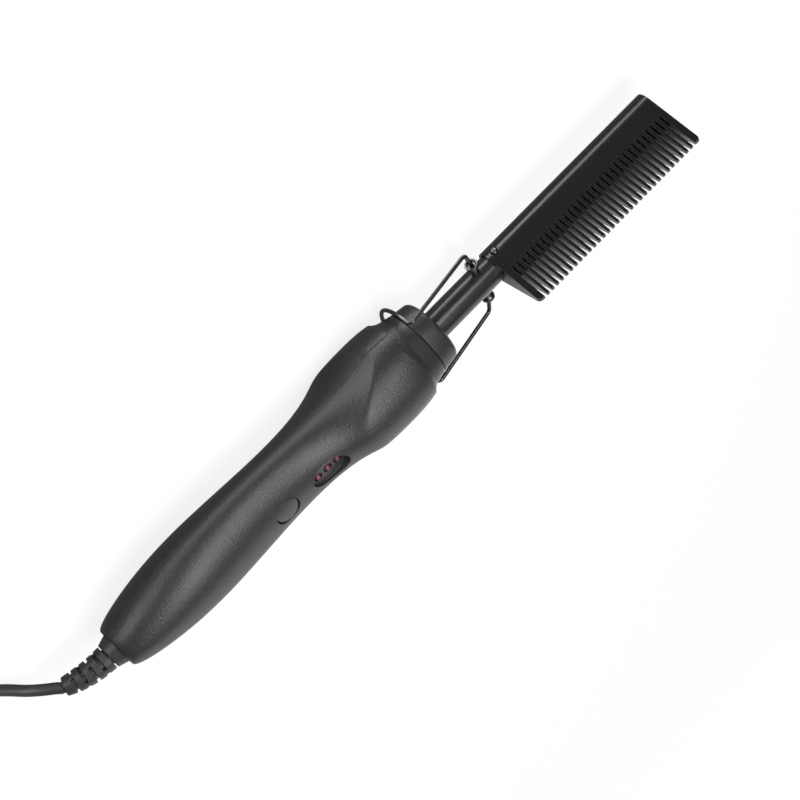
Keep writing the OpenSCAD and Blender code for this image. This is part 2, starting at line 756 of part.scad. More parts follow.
function relief_ring(d, r, sides = 20) =
    let (t = relief_dir(d), u = unit([0, 0, 1] - t * t[2]), v = cross(t, u))
    [for (j = [0:sides - 1]) relief_at(d) + r * cos(360 * j / sides) * u + r * sin(360 * j / sides) * v];

module strain_relief() {
    rib_count = len(relief_ribs);
    color([0.14, 0.14, 0.14]) from_butt() {
        rod_x(0, butt_wall + 0.1, boot_neck_r);
        rod_x(butt_wall + 0.1, butt_wall + flange_l, flange_r);
        loft(concat(
            [relief_ring(0, relief_r0), relief_ring(relief_cone_l, relief_r1)],
            [for (i = [0:rib_count - 1]) let (rib = relief_ribs[i]) each [
                relief_ring(i == 0 ? relief_cone_l + 0.01 : relief_ribs[i - 1][1] + 0.01, relief_core_r),
                relief_ring(rib[0] - 0.01, relief_core_r),
                relief_ring(rib[0], rib[2]), relief_ring(rib[1], rib[3])
            ]]
        ));
        // Webs join the ribs on two sides, turned a quarter from one gap to the next
        for (i = [0:rib_count - 2]) {
            a = relief_ribs[i][1] - 0.3;
            b = relief_ribs[i + 1][0] + 0.3;
            v = relief_dir((a + b) / 2);
            reach = 2 * relief_ribs[i + 1][2] - 0.5;
            size = i % 2 == 0 ? [reach, relief_web, b - a] : [relief_web, reach, b - a];
            translate(relief_at((a + b) / 2)) rotate([0, acos(v[2]), atan2(v[1], v[0])])
                cube(size, center = true);
        }
    }
}

// Route of the free cord in the part's frame, from the strain relief to the coil
lead_route = [
    [-170.5, 1.8, 14.3], [-173.6, 3.1, 12.2], [-178.5, 6.3, 9.1], [-183.8, 12.2, 6.3], [-190, 19.2, 4.2],
    [-197, 25.6, 2.8], [-205, 31, 2.3], [-213.5, 35.2, 2.25], [-222, 38.2, 2.25], [-231, 39.9, 2.25],
    [-235, 40.2, 2.25]
];
coil_x = -240;
coil_y = 11;
coil_turn_r = 5.5 * cord_d; // to the middle of the turns
coil_layers = 5;
coil_strands = 3;           // side by side in each layer
coil_half = coil_strands * cord_r;
coil_h = coil_layers * cord_d;

// The cord leaves the coil's top layer, turns inwards and rises to the plug that lies on the coil
tail_from = -75;            // angle round the coil where it leaves
tail_leave_r = 22.3;
tail_turn_r = 4 * cord_d;
tail_x = coil_x + (tail_leave_r - tail_turn_r) * cos(tail_from);
tail_y = coil_y + (tail_leave_r - tail_turn_r) * sin(tail_from);
plug_z = coil_h + solder + plug_t / 2;
tail_route = concat(
    [for (k = [0:6]) let (a = mix(tail_from, 90, k / 6))
        [tail_x + tail_turn_r * cos(a), tail_y + tail_turn_r * sin(a),
            mix(coil_h - cord_r, plug_z, ease(k / 6))]],
    [[tail_x - 2, tail_y + tail_turn_r, plug_z]]
);

// The cord's tube, whose end at the strain relief is square to it
module cord_lead() {
    leave = relief_end + 0.05;
    start = [for (d = [0, 1]) [x_butt, 0, axis_z] + relief_at(leave) + d * relief_dir(leave)];
    color([0.14, 0.14, 0.14]) swept(concat(start, lead_route), cord_r);
}

module cord_coil() {
    color([0.14, 0.14, 0.14]) translate([coil_x, coil_y, 0]) rotate_extrude()
        translate([coil_turn_r - coil_half, 0]) square([2 * coil_half, coil_h]);
}

module cord_tie() {
    tie_w = 9;
    tie_t = 0.8;
    color("black") translate([coil_x, coil_y, 0]) rotate([0, 0, 35]) difference() {
        translate([coil_turn_r - coil_half - tie_t, -tie_w / 2, 0])
            cube([2 * (coil_half + tie_t), tie_w, coil_h + tie_t]);
        translate([coil_turn_r - coil_half, -tie_w, tie_t / 2])
            cube([2 * coil_half, 2 * tie_w, coil_h - tie_t / 2]);
    }
}

module cord_tail() {
    color([0.14, 0.14, 0.14]) swept(tail_route, cord_r);
}

// The plug lies on its flat side on the coil. Local +X runs from the cord to the pins' tips.
plug_relief_l = 12;
plug_grip_l = 16;
plug_face_l = 10;
plug_face = plug_relief_l + plug_grip_l + plug_face_l;

module at_plug() {
    translate(tail_route[len(tail_route) - 1] - [0.05, 0, 0]) rotate([0, 0, 180]) children();
}

module stadium_x(x0, x1, w, t) {
    translate([x0, 0, 0]) rotate([90, 0, 90]) linear_extrude(x1 - x0) {
        for (side = [-1, 1]) translate([side * (w - t) / 2, 0]) circle(d = t);
        square([w - t, t], center = true);
    }
}

module plug_body() {
    color([0.12, 0.12, 0.12]) at_plug() {
        rotate([0, 90, 0]) cylinder(h = plug_relief_l, r1 = cord_r + 0.8, r2 = cord_r + 2.4);
        stadium_x(plug_relief_l, plug_relief_l + plug_grip_l, plug_w * 0.7, plug_t - 1.6);
        stadium_x(plug_relief_l + plug_grip_l, plug_face, plug_w, plug_t);
    }
}

module plug_pins() {
    pin_r = pin_d / 2;
    color("silver") at_plug() for (side = [-1, 1]) translate([plug_face, side * pin_pitch / 2, 0]) {
        rod_x(0, pin_l - pin_r, pin_r);
        translate([pin_l - pin_r, 0, 0]) sphere(r = pin_r);
    }
}

upper_shell();
lower_shell();
shell_screws();
neck_ring();
front_cap();
barrel_bush();
barrel();
comb();
comb_screw();
heating_rod();
heat_sensor();
thermal_fuse();
wire_sleeve();
stand_studs();
wire_stand();
power_button();
switch_plunger();
switch_body();
lamps();
circuit_board();
board_screws();
film_capacitor();
round_capacitor();
triac();
control_chip();
heater_wires();
sensor_wires();
mains_wires();
inner_cord();
cord_clamp();
clamp_screws();
strain_relief();
cord_lead();
cord_coil();
cord_tie();
cord_tail();
plug_body();
plug_pins();
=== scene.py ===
"""Electric hot comb: the looks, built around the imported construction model.

Everything is in millimetres until a mesh is made, in the frame of the construction model: +X to the comb's
tip, +Z the way the teeth point, and the tool's axis along X at AXIS_Z.
"""
import json
from functools import partial
from math import acos, asin, atan2, ceil, cos, degrees, hypot, radians, sin, sqrt, tan
from math import pi as PI

import bmesh
import bpy
import numpy as np
from mathutils import Matrix, Quaternion, Vector


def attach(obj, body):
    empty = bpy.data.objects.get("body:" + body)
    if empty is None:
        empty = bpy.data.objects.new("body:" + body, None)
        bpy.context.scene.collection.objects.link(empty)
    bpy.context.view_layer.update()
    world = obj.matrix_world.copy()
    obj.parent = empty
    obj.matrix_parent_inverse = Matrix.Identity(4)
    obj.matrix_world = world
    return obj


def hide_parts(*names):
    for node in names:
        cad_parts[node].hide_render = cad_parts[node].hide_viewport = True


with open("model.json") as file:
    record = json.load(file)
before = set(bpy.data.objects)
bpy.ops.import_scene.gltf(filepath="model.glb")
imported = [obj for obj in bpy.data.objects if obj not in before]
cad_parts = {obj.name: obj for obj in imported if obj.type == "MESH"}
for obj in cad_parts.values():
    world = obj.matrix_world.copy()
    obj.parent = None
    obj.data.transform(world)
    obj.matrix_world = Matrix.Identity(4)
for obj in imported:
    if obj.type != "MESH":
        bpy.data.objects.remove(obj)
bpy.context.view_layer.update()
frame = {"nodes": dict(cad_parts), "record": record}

scene = bpy.context.scene
MM = 0.001

# ---------- sizes ----------
# Names that end in _AT or _FROM are distances from the butt, _R radii and _L lengths. The handle's _W and _H
# are half widths and half heights.

HANDLE_L = 153.8
X_BUTT, X_SHOULDER, X_CAP = -145.0, 8.8, 14.6
X_PIVOT, X_FOOT, X_COMB, X_TIP = 48.9, 14.2, 55.9, 145.0
AXIS_Z = 19.4
BUTT_R, BULGE_R = 8.2, 19.4
BELLY_W, BELLY_H, WAIST_W, WAIST_H = 17.7, 14.1, 15.0, 11.7
BELLY_W_AT, BELLY_H_AT, WAIST_W_AT, WAIST_H_AT, BULGE_AT = 50, 34, 112, 87, 137
RISE_FROM, RISE_L, RISE_H, RISE_POWER = 63.3, 35, 0.935, 4.16
DOME_FROM, DOME_SIDE, BACK_DROP, FRONT_DROP, DEEPEST_DROP = 112, 0.958, 0.00093, 0.00083, 2.2
SHOULDER_AT, SHOULDER_ROUND, RING_R, RING_NECK_R, RING_FLARE_L = 151.2, 0.2, 17.9, 16.0, 2.5
HOLLOW_L, HOLLOW_RISE, SEAM_STEP, CREASE, CREASE_FADE = 28.4, 3.35, 0.6, 0.28, 2.6
SEAM_ROUND, SEAM_SHALLOW, SEAM_DEEPENS_AT, SEAM_DEEPENS_L = 0.26, 0.25, 104, 12
WALL, BUTT_WALL, BOOT_NECK_R = 2.0, 2.5, 5.05
RIB_AT, NOSE_BORE_R, SPIGOT_R, TIP_SPIGOT_R, NOSE_L = 137.5, 9.4, 12.4, 10.9, 10.6
NECK_L, CAP_L = 5.8, 8.4
BUTTON_AT, BUTTON_R, BUTTON_GAP, BUTTON_TOP = 79.5, 5.4, 0.3, 11.75
LAMPS_AT, LAMP_PITCH, LAMP_R, RECESS_Z = 101.4, 5.0, 1.5, 10.7
RECESS_HALF_L, RECESS_HALF_W = 8.3, 5.2
SCREWS_AT, SCREW_SEAT, SCREW_HEAD_R = (24.0, 60.0, 122.0), -6.0, 2.5
BARREL_R, BARREL_BORE_R, BARREL_BACK, BARREL_SEAT = 6.0, 5.2, 128.0, 14.0
COMB_L, SPINE_R, COMB_H, COMB_TIP_T = 89.1, 7.05, 26.6, 1.4
SLOTS, SLOT_PITCH, SLOT_W, SLOT_ROOT, SLOT_CORNER = 33, 2.57, 1.27, 8.6, 0.35
ROD_BORE_R, ROD_END, X_CLAMP_SCREW = 4.05, 7, X_COMB + 3.8
STUD_OUT = 11.6
WIRE_R, FOOT_HALF_W, FOOT_Z, ELBOW_Z = 0.82, 19.7, -17.6, 5.9
CORD_R = 2.25


# ---------- meshes ----------

SQUARE = ((-1, -1), (1, -1), (1, 1), (-1, 1))


def vec(values):
    return np.asarray(values, float)


def quarter(count):
    """Angles from 0 to a quarter turn."""
    return np.linspace(0, 0.5 * PI, count)


def full_turn(count):
    """Angles in equal steps round a full turn."""
    return np.arange(count) * 2 * PI / count


def circle(u, v, sides):
    """Points on the unit circle that two directions span."""
    angles = full_turn(sides)
    return np.outer(np.cos(angles), u) + np.outer(np.sin(angles), v)


def unit(v):
    return v / np.linalg.norm(v)


def link(obj):
    scene.collection.objects.link(obj)
    return obj


def new_object(name, points, faces):
    mesh = bpy.data.meshes.new(name)
    mesh.from_pydata((vec(points) * MM).tolist(), [], [tuple(f) for f in faces])
    return link(bpy.data.objects.new(name, mesh))


def face_outwards(obj):
    """Welds doubled points and turns every face outwards."""
    work = bmesh.new()
    work.from_mesh(obj.data)
    bmesh.ops.remove_doubles(work, verts=work.verts, dist=1e-7)
    bmesh.ops.dissolve_degenerate(work, edges=work.edges, dist=1e-8)
    bmesh.ops.recalc_face_normals(work, faces=work.faces)
    work.to_mesh(obj.data)
    work.free()
    return obj


def solid(name, *parts):
    """One object from several closed shells, each (points, faces)."""
    points, faces = [], []
    for shell_points, shell_faces in parts:
        start = len(points)
        points += [tuple(p) for p in vec(shell_points)]
        faces += [[i + start for i in f] for f in shell_faces]
    return face_outwards(new_object(name, points, faces))


def apply_modifiers(obj):
    """Replaces the object's mesh by what its modifiers make of it."""
    graph = bpy.context.evaluated_depsgraph_get()
    made = bpy.data.meshes.new_from_object(obj.evaluated_get(graph), preserve_all_data_layers=True,
                                           depsgraph=graph)
    old = obj.data
    obj.modifiers.clear()
    obj.data = made
    bpy.data.meshes.remove(old)
    obj.data.name = obj.name
    return obj


def combine(obj, tool, operation):
    """Cuts the tool from the object, or joins it on, and removes the tool."""
    step = obj.modifiers.new(operation.lower(), "BOOLEAN")
    step.operation, step.solver, step.object = operation, "EXACT", tool
    apply_modifiers(obj)
    bpy.data.objects.remove(tool)
    return obj


def cut(obj, name, *parts):
    """Cuts the solid made of those closed shells from the object."""
    return combine(obj, solid(name, *parts), "DIFFERENCE")


def bevel(obj, width, angle):
    step = obj.modifiers.new("bevel", "BEVEL")
    step.width, step.segments = width * MM, 2
    step.limit_method, step.angle_limit = "ANGLE", radians(angle)
    return apply_modifiers(obj)


def loft(sections):
    """Closed shell through closed sections of as many points, with flat ends."""
    rows, columns = len(sections), len(sections[0])
    faces = []
    for i in range(rows - 1):
        for j in range(columns):
            k = (j + 1) % columns
            faces.append((i * columns + j, i * columns + k, (i + 1) * columns + k, (i + 1) * columns + j))
    faces.append(tuple(range(columns))[::-1])
    faces.append(tuple(range((rows - 1) * columns, rows * columns)))
    return np.concatenate([vec(s) for s in sections]), faces


def rounded(corners, steps=4):
    """A closed outline whose corners (x, y, radius) are rounded."""
    out = []
    for i, (x, y, r) in enumerate(corners):
        here = vec((x, y))
        back = vec(corners[i - 1][:2]) - here
        ahead = vec(corners[(i + 1) % len(corners)][:2]) - here
        back_l, ahead_l = np.linalg.norm(back), np.linalg.norm(ahead)
        back, ahead = back / back_l, ahead / ahead_l
        turn = PI - acos(max(-1, min(1, float(back @ ahead))))
        if r <= 0 or turn < 0.02:
            out.append(here)
            continue
        reach = min(r * tan(turn / 2), 0.49 * back_l, 0.49 * ahead_l)
        r = reach / tan(turn / 2)
        middle = here + (back + ahead) / np.linalg.norm(back + ahead) * r / cos(turn / 2)
        first, last = here + back * reach - middle, here + ahead * reach - middle
        for k in range(steps + 1):
            w = k / steps
            out.append(middle + (sin((1 - w) * turn) * first + sin(w * turn) * last) / sin(turn))
    return np.array(out)


def basis(axis):
    """The axis with two directions square to it, each of unit length."""
    axis = unit(vec(axis))
    side = unit(np.cross(axis, (0, 0, 1) if abs(axis[2]) < 0.9 else (1, 0, 0)))
    return axis, side, np.cross(axis, side)


def turned(profile, origin=(0, 0, AXIS_Z), axis=(1, 0, 0), sides=96):
    """A shell turned about an axis. The profile is a closed outline of (distance along, radius)."""
    axis, u, v = basis(axis)
    origin = vec(origin)
    profile = [(a, max(r, 0.0)) for a, r in vec(profile)]
    ring = circle(u, v, sides)
    points, starts, faces = [], [], []
    for along, r in profile:
        starts.append((len(points), r > 1e-6))
        if r > 1e-6:
            points += list(origin + along * axis + r * ring)
        else:
            points.append(origin + along * axis)
    for i in range(len(profile)):
        (a, a_ring), (b, b_ring) = starts[i], starts[(i + 1) % len(profile)]
        for j in range(sides):
            k = (j + 1) % sides
            if a_ring and b_ring:
                faces.append((a + j, a + k, b + k, b + j))
            elif a_ring:
                faces.append((a + j, a + k, b))
            elif b_ring:
                faces.append((a, b + k, b + j))
    return points, faces


def tube(points, radius, sides):
    """A round tube along points."""
    points = vec(points)
    last = len(points) - 1
    tangents = [unit(points[min(i + 1, last)] - points[max(i - 1, 0)]) for i in range(last + 1)]
    side = basis(tangents[0])[1]
    sections = []
    for p, t in zip(points, tangents):
        side = unit(side - t * (side @ t))
        sections.append(p + radius * circle(side, np.cross(t, side), sides))
    return loft(sections)


def bent(corners, radii, step=4):
    """Points of a path whose corners are bends, each with its own radius."""
    out = [vec(corners[0])]
    for i, r in enumerate(radii, 1):
        here = vec(corners[i])
        a, b = unit(here - vec(corners[i - 1])), unit(vec(corners[i + 1]) - here)
        turn = acos(float(a @ b))
        q = unit(b - a * (a @ b))
        start = here - a * r * tan(turn / 2)
        steps = ceil(degrees(turn) / step)
        for k in range(steps + 1):
            w = turn * k / steps
            out.append(start + a * r * sin(w) + q * r * (1 - cos(w)))
    out.append(vec(corners[-1]))
    keep = [out[0]]
    for p in out[1:]:
        if np.linalg.norm(p - keep[-1]) > 1e-4:
            keep.append(p)
    return np.array(keep)


def between(a, b, start, end, t):
    """The value at t of what is a at the start and b at the end."""
    return ((end - t) * a + (t - start) * b) / (end - start)


def curve_through(points, spacing):
    """Points about as far apart as spacing on a smooth curve through the given ones."""
    points = vec(points)
    ends = np.concatenate([[2 * points[0] - points[1]], points, [2 * points[-1] - points[-2]]])
    out = []
    for i in range(1, len(ends) - 2):
        p0, p1, p2, p3 = ends[i - 1:i + 3]
        t1 = np.linalg.norm(p1 - p0) ** 0.5
        t2 = t1 + np.linalg.norm(p2 - p1) ** 0.5
        t3 = t2 + np.linalg.norm(p3 - p2) ** 0.5
        steps = max(1, round(np.linalg.norm(p2 - p1) / spacing))
        for k in range(steps):
            t = t1 + (t2 - t1) * k / steps
            a1 = between(p0, p1, 0, t1, t)
            a2 = between(p1, p2, t1, t2, t)
            a3 = between(p2, p3, t2, t3, t)
            b1 = between(a1, a2, 0, t2, t)
            b2 = between(a2, a3, t1, t3, t)
            out.append(between(b1, b2, t1, t2, t))
    out.append(points[-1])
    return np.array(out)


# ---------- node trees ----------

def node_group(kind, name, inputs, outputs):
    """A node group with its first and last node. An input or output is (name, type)."""
    tree = bpy.data.node_groups.new(name, kind)
    for way, sockets in (("INPUT", inputs), ("OUTPUT", outputs)):
        for label, socket_type in sockets:
            tree.interface.new_socket(label, in_out=way, socket_type="NodeSocket" + socket_type)
    return tree, tree.nodes.new("NodeGroupInput"), tree.nodes.new("NodeGroupOutput")


def feed(node, values):
    """Sets or links the node's inputs, by name, and gives back its tree."""
    for name, value in values.items():
        if isinstance(value, bpy.types.NodeSocket):
            node.id_data.links.new(value, node.inputs[name])
        else:
            node.inputs[name].default_value = value
    return node.id_data


def add(tree, kind, inputs=None, **settings):
    """A node with its properties and its inputs, each a value or a link."""
    made = tree.nodes.new(kind)
    for key, value in settings.items():
        setattr(made, key, value)
    feed(made, inputs or {})
    return made


def geometry_group(name, inputs):
    geometry = ("Geometry", "Geometry")
    return node_group("GeometryNodeTree", name, [geometry, *inputs], [geometry])


def grown(obj, tree, values):
    """Runs a geometry tree on the object, with inputs by name, and keeps the plain mesh."""
    step = obj.modifiers.new(tree.name, "NODES")
    step.node_group = tree
    for item in tree.interface.items_tree:
        if item.item_type == "SOCKET" and item.in_out == "INPUT" and item.name in values:
            step[item.identifier] = values[item.name]
    return apply_modifiers(obj)


def copies(tree, shape, points):
    """The object that a socket names, set on every point."""
    part = add(tree, "GeometryNodeObjectInfo", inputs={"Object": shape})
    return add(tree, "GeometryNodeInstanceOnPoints", inputs={
        "Points": points, "Instance": part.outputs["Geometry"]}).outputs["Instances"]


def realized(tree, geometry):
    return add(tree, "GeometryNodeRealizeInstances", inputs={"Geometry": geometry}).outputs["Geometry"]


def ended(tree, start, end, geometry):
    """Ends a tree: its geometry is made real and gets its finish."""
    dressed = add(tree, "GeometryNodeSetMaterial", inputs={
        "Geometry": realized(tree, geometry), "Material": start.outputs["Finish"]})
    return feed(end, {"Geometry": dressed.outputs["Geometry"]})


def row_tree():
    """Sets a part on every point of the object's mesh."""
    tree, start, end = geometry_group("parts_on_points", [("Part", "Object"), ("Finish", "Material")])
    return ended(tree, start, end, copies(tree, start.outputs["Part"], start.outputs["Geometry"]))


def comb_tree():
    """Cuts a row of equal slots into the comb's blank."""
    tree, start, end = geometry_group("comb_slots", [
        ("Slot", "Object"), ("Count", "Int"), ("Pitch", "Float"), ("First slot", "Vector"),
        ("Finish", "Material")])
    step = add(tree, "ShaderNodeCombineXYZ", inputs={"X": start.outputs["Pitch"]})
    line = add(tree, "GeometryNodeMeshLine", mode="OFFSET", inputs={
        "Count": start.outputs["Count"], "Start Location": start.outputs["First slot"],
        "Offset": step.outputs["Vector"]})
    carve = add(tree, "GeometryNodeMeshBoolean", operation="DIFFERENCE", solver="EXACT", inputs={
        "Mesh 1": start.outputs["Geometry"],
        "Mesh 2": realized(tree, copies(tree, start.outputs["Slot"], line.outputs["Mesh"]))})
    return ended(tree, start, end, carve.outputs["Mesh"])


def maths(operation, a, b=0.0):
    """A value worked out from two others, of which one may be a plain number."""
    tree = (a if isinstance(a, bpy.types.NodeSocket) else b).id_data
    return add(tree, "ShaderNodeMath", operation=operation, inputs={0: a, 1: b}).outputs[0]


plus, minus, times, larger = (
    partial(maths, operation) for operation in ("ADD", "SUBTRACT", "MULTIPLY", "MAXIMUM"))


def remap(value, from_min, from_max, to_min=0.0, to_max=1.0):
    """Maps one range to another and stays inside it."""
    return add(value.id_data, "ShaderNodeMapRange", clamp=True, inputs={
        "Value": value, "From Min": from_min, "From Max": from_max, "To Min": to_min,
        "To Max": to_max}).outputs["Result"]


def noise(vector, scale, detail, rough=0.5):
    return add(vector.id_data, "ShaderNodeTexNoise", inputs={
        "Vector": vector, "Scale": scale, "Detail": detail, "Roughness": rough}).outputs["Fac"]


def object_place(tree):
    return add(tree, "ShaderNodeTexCoord").outputs["Object"]


# ---------- finishes ----------

def moulded_group():
    """Fine spark-eroded grain of a moulded surface, with slow clouding and specks in its shade and gloss."""
    tree, start, end = node_group(
        "ShaderNodeTree", "moulded_grain",
        [("Grain size", "Float"), ("Clouding", "Float")],
        [("Height", "Float"), ("Shade", "Float"), ("Gloss", "Float")])
    place = object_place(tree)
    scale = maths("DIVIDE", 1 / MM, start.outputs["Grain size"])
    fine = noise(place, scale, 2.0, 0.6)
    cells = add(tree, "ShaderNodeTexVoronoi", feature="SMOOTH_F1", inputs={
        "Vector": place, "Scale": times(scale, 0.7), "Smoothness": 0.6}).outputs["Distance"]
    slow = noise(place, 90.0, 3.0, 0.55)
    specks = remap(noise(place, 2300.0, 1.0), 0.66, 0.74)
    cloud = times(minus(slow, 0.5), start.outputs["Clouding"])
    gloss = plus(times(cloud, -0.6), times(specks, -0.5))
    return feed(end, {
        "Height": plus(times(fine, 0.6), times(cells, 0.5)),
        "Shade": plus(plus(cloud, 0.5), times(specks, 0.3)),
        "Gloss": plus(gloss, 0.5)})


def worn_and_highlit_edge_group():
    """Mask of the edges that rub bare first, also used as a painted highlight along edges."""
    tree, start, end = node_group(
        "ShaderNodeTree", "worn_edges",
        [("Reach", "Float"), ("Start", "Float"), ("Full", "Float")],
        [("Mask", "Float")])
    soft = add(tree, "ShaderNodeBevel", samples=8, inputs={"Radius": start.outputs["Reach"]})
    sharp = add(tree, "ShaderNodeNewGeometry")
    same = add(tree, "ShaderNodeVectorMath", operation="DOT_PRODUCT", inputs={
        0: soft.outputs["Normal"], 1: sharp.outputs["Normal"]}).outputs["Value"]
    rubs = remap(noise(object_place(tree), 900.0, 3.0, 0.65), 0.3, 0.6, 0.75, 1.1)
    amount = times(minus(1.0, same), rubs)
    return feed(end, {"Mask": remap(amount, start.outputs["Start"], start.outputs["Full"])})


def drawn_group():
    """Fine marks left by drawing, turning or grinding, with broad patches."""
    tree, _, end = node_group(
        "ShaderNodeTree", "drawn_lines", [], [("Height", "Float"), ("Shade", "Float")])
    place = object_place(tree)
    lines = noise(place, 3000.0, 2.0, 0.6)
    patches = noise(place, 160.0, 2.0)
    return feed(end, {
        "Height": lines, "Shade": plus(times(lines, 0.7), times(patches, 0.3))})


moulded_grain = moulded_group()
worn_edges = worn_and_highlit_edge_group()
drawn_lines = drawn_group()
FINISHES = {}


def new_finish(name):
    material = FINISHES[name] = bpy.data.materials.new(name)
    material.use_nodes = True
    return material.node_tree, material.node_tree.nodes["Principled BSDF"]


def effect_of(tree, group, **values):
    """The group's outputs, for values whose names have _ for a space."""
    inputs = {name.replace("_", " "): value for name, value in values.items()}
    return add(tree, "ShaderNodeGroup", node_tree=group, inputs=inputs).outputs


def rubbed_and_highlit(tree, reach, start, full):
    """Mask of the piece's worn edges, also a painted highlight along them, with the reach in millimetres."""
    return effect_of(tree, worn_edges, Reach=reach * MM, Start=start, Full=full)["Mask"]


def blend(factor, a, b):
    """A mix of two colours, each a socket or plain (r, g, b)."""
    a, b = (c if isinstance(c, bpy.types.NodeSocket) else (*c, 1) for c in (a, b))
    return add(factor.id_data, "ShaderNodeMix", data_type="RGBA",
               inputs={"Factor": factor, 6: a, 7: b}).outputs[2]


def surface(shader, colour, gloss, rough_range, height, strength, depth):
    """Gives the shader its colour, its roughness over the range and relief of that depth in millimetres."""
    bump = add(shader.id_data, "ShaderNodeBump", inputs={
        "Height": height, "Strength": strength, "Distance": depth * MM})
    feed(shader, {"Base Color": colour, "Roughness": remap(gloss, 0.3, 0.7, *rough_range),
                  "Normal": bump.outputs["Normal"]})


def moulded(name, dark, light, rough, grain=0.4, depth=0.05, clouding=0.5, edge=0.0):
    """Moulded plastic or rubber, paler by edge where its edges rub."""
    tree, shader = new_finish(name)
    effect = effect_of(tree, moulded_grain, Grain_size=grain, Clouding=clouding)
    colour = blend(effect["Shade"], dark, light)
    if edge > 0:
        share = times(rubbed_and_highlit(tree, 0.3, 0.02, 0.3), edge)
        colour = blend(share, colour, [min(1, 2.2 * c) for c in light])
    surface(shader, colour, effect["Gloss"], (rough - 0.05, rough + 0.05), effect["Height"], 0.5, depth)


def metal(name, dark, light, rough, worn=0.0):
    """Bare metal with the marks of its making, as pale as worn along its edges: wear, and a painted highlight
    on the rims.
    """
    tree, shader = new_finish(name)
    effect = effect_of(tree, drawn_lines)
    colour = blend(effect["Shade"], dark, light)
    if worn > 0:
        colour = blend(rubbed_and_highlit(tree, 0.2, 0.03, 0.25), colour, (worn, worn, worn))
    surface(shader, colour, effect["Shade"], (rough - 0.06, rough + 0.08), effect["Height"], 0.4, 0.004)
    feed(shader, {"Metallic": 1.0})


def painted_metal(name, paint, bare, rough, reach, start, full):
    """Dark coating over metal, paler along the edges: worn thin there, and a painted highlight on the edges.
    """
    tree, shader = new_finish(name)
    effect = effect_of(tree, moulded_grain, Grain_size=0.18, Clouding=0.6)
    coat = blend(effect["Shade"], [0.8 * paint] * 3, [1.25 * paint] * 3)
    colour = blend(rubbed_and_highlit(tree, reach, start, full), coat, [bare] * 3)
    surface(shader, colour, effect["Gloss"], (rough - 0.05, rough + 0.06), effect["Height"], 0.4, 0.008)


def lamp_plastic(name):
    """Clear red lens, painted paler on top as a painted highlight."""
    tree, shader = new_finish(name)
    effect = effect_of(tree, moulded_grain, Grain_size=0.12, Clouding=0.8)
    height = add(tree, "ShaderNodeSeparateXYZ", inputs={0: object_place(tree)}).outputs["Z"]
    # Painted highlight: the lens is paler towards its top, by height.
    painted_lit_top = remap(height, (AXIS_Z + RECESS_Z - 0.5) * MM, (AXIS_Z + RECESS_Z + 0.55) * MM)
    body = blend(effect["Shade"], (0.07, 0.004, 0.010), (0.12, 0.009, 0.02))
    surface(shader, blend(painted_lit_top, body, (0.20, 0.050, 0.064)), effect["Gloss"], (0.16, 0.26),
            effect["Height"], 0.2, 0.004)


moulded("handle_plastic", (0.02, 0.02, 0.021), (0.03, 0.03, 0.031), 0.39, grain=0.58, depth=0.26, edge=0.3)
# The lower shell is painted a tenth darker than the upper one, as painted shade on the side that faces down.
moulded("lower_plastic", (0.018, 0.018, 0.019), (0.027, 0.027, 0.028), 0.40, grain=0.58, depth=0.26, edge=0.3)
moulded("cap_plastic", (0.02, 0.02, 0.021), (0.03, 0.03, 0.031), 0.42, grain=0.58, depth=0.15, edge=0.3)
moulded("button_plastic", (0.026, 0.026, 0.027), (0.036, 0.036, 0.037), 0.38, edge=0.6)
# The pale edges of barrel and comb are partly worn paint and partly a painted highlight.
painted_metal("barrel_paint", 0.018, 0.16, 0.28, reach=0.3, start=0.05, full=0.35)
painted_metal("comb_paint", 0.004, 0.20, 0.26, reach=0.16, start=0.04, full=0.2)
# The pale edges of the dark and stud steels are partly wear and partly a painted highlight on the rims of
# screws and studs.
metal("dark_steel", (0.05, 0.05, 0.05), (0.10, 0.10, 0.10), 0.28, worn=0.45)
metal("stud_steel", (0.07, 0.07, 0.07), (0.15, 0.15, 0.15), 0.30, worn=0.55)
metal("bright_steel", (0.42, 0.42, 0.43), (0.62, 0.62, 0.62), 0.25)
metal("bright_brass", (0.42, 0.30, 0.12), (0.62, 0.46, 0.20), 0.28)
moulded("ceramic", (0.55, 0.52, 0.45), (0.68, 0.65, 0.58), 0.55, grain=0.15, clouding=0.7)
moulded("glass_sleeve", (0.45, 0.42, 0.34), (0.62, 0.58, 0.48), 0.6, grain=0.5, depth=0.06)
lamp_plastic("lamp_red")
moulded("board_green", (0.012, 0.08, 0.03), (0.02, 0.12, 0.05), 0.35, grain=0.6)
moulded("component_black", (0.012, 0.012, 0.013), (0.022, 0.022, 0.023), 0.5)
moulded("component_blue", (0.012, 0.03, 0.16), (0.02, 0.05, 0.24), 0.32)
moulded("component_yellow", (0.45, 0.28, 0.03), (0.60, 0.40, 0.06), 0.35)
moulded("wire_white", (0.52, 0.52, 0.50), (0.68, 0.68, 0.66), 0.45)
moulded("wire_red", (0.32, 0.02, 0.02), (0.45, 0.04, 0.03), 0.42)
moulded("wire_brown", (0.10, 0.04, 0.02), (0.16, 0.07, 0.035), 0.42)
moulded("cord_rubber", (0.026, 0.026, 0.027), (0.040, 0.039, 0.041), 0.45, grain=0.35, depth=0.02)
moulded("tie_strap", (0.016, 0.016, 0.016), (0.028, 0.028, 0.028), 0.6, grain=0.5, depth=0.05)

for part in frame["record"]["subparts"]:
    materials = frame["nodes"][part["node"]].data.materials
    materials.clear()
    materials.append(FINISHES[part["material_slot"]])


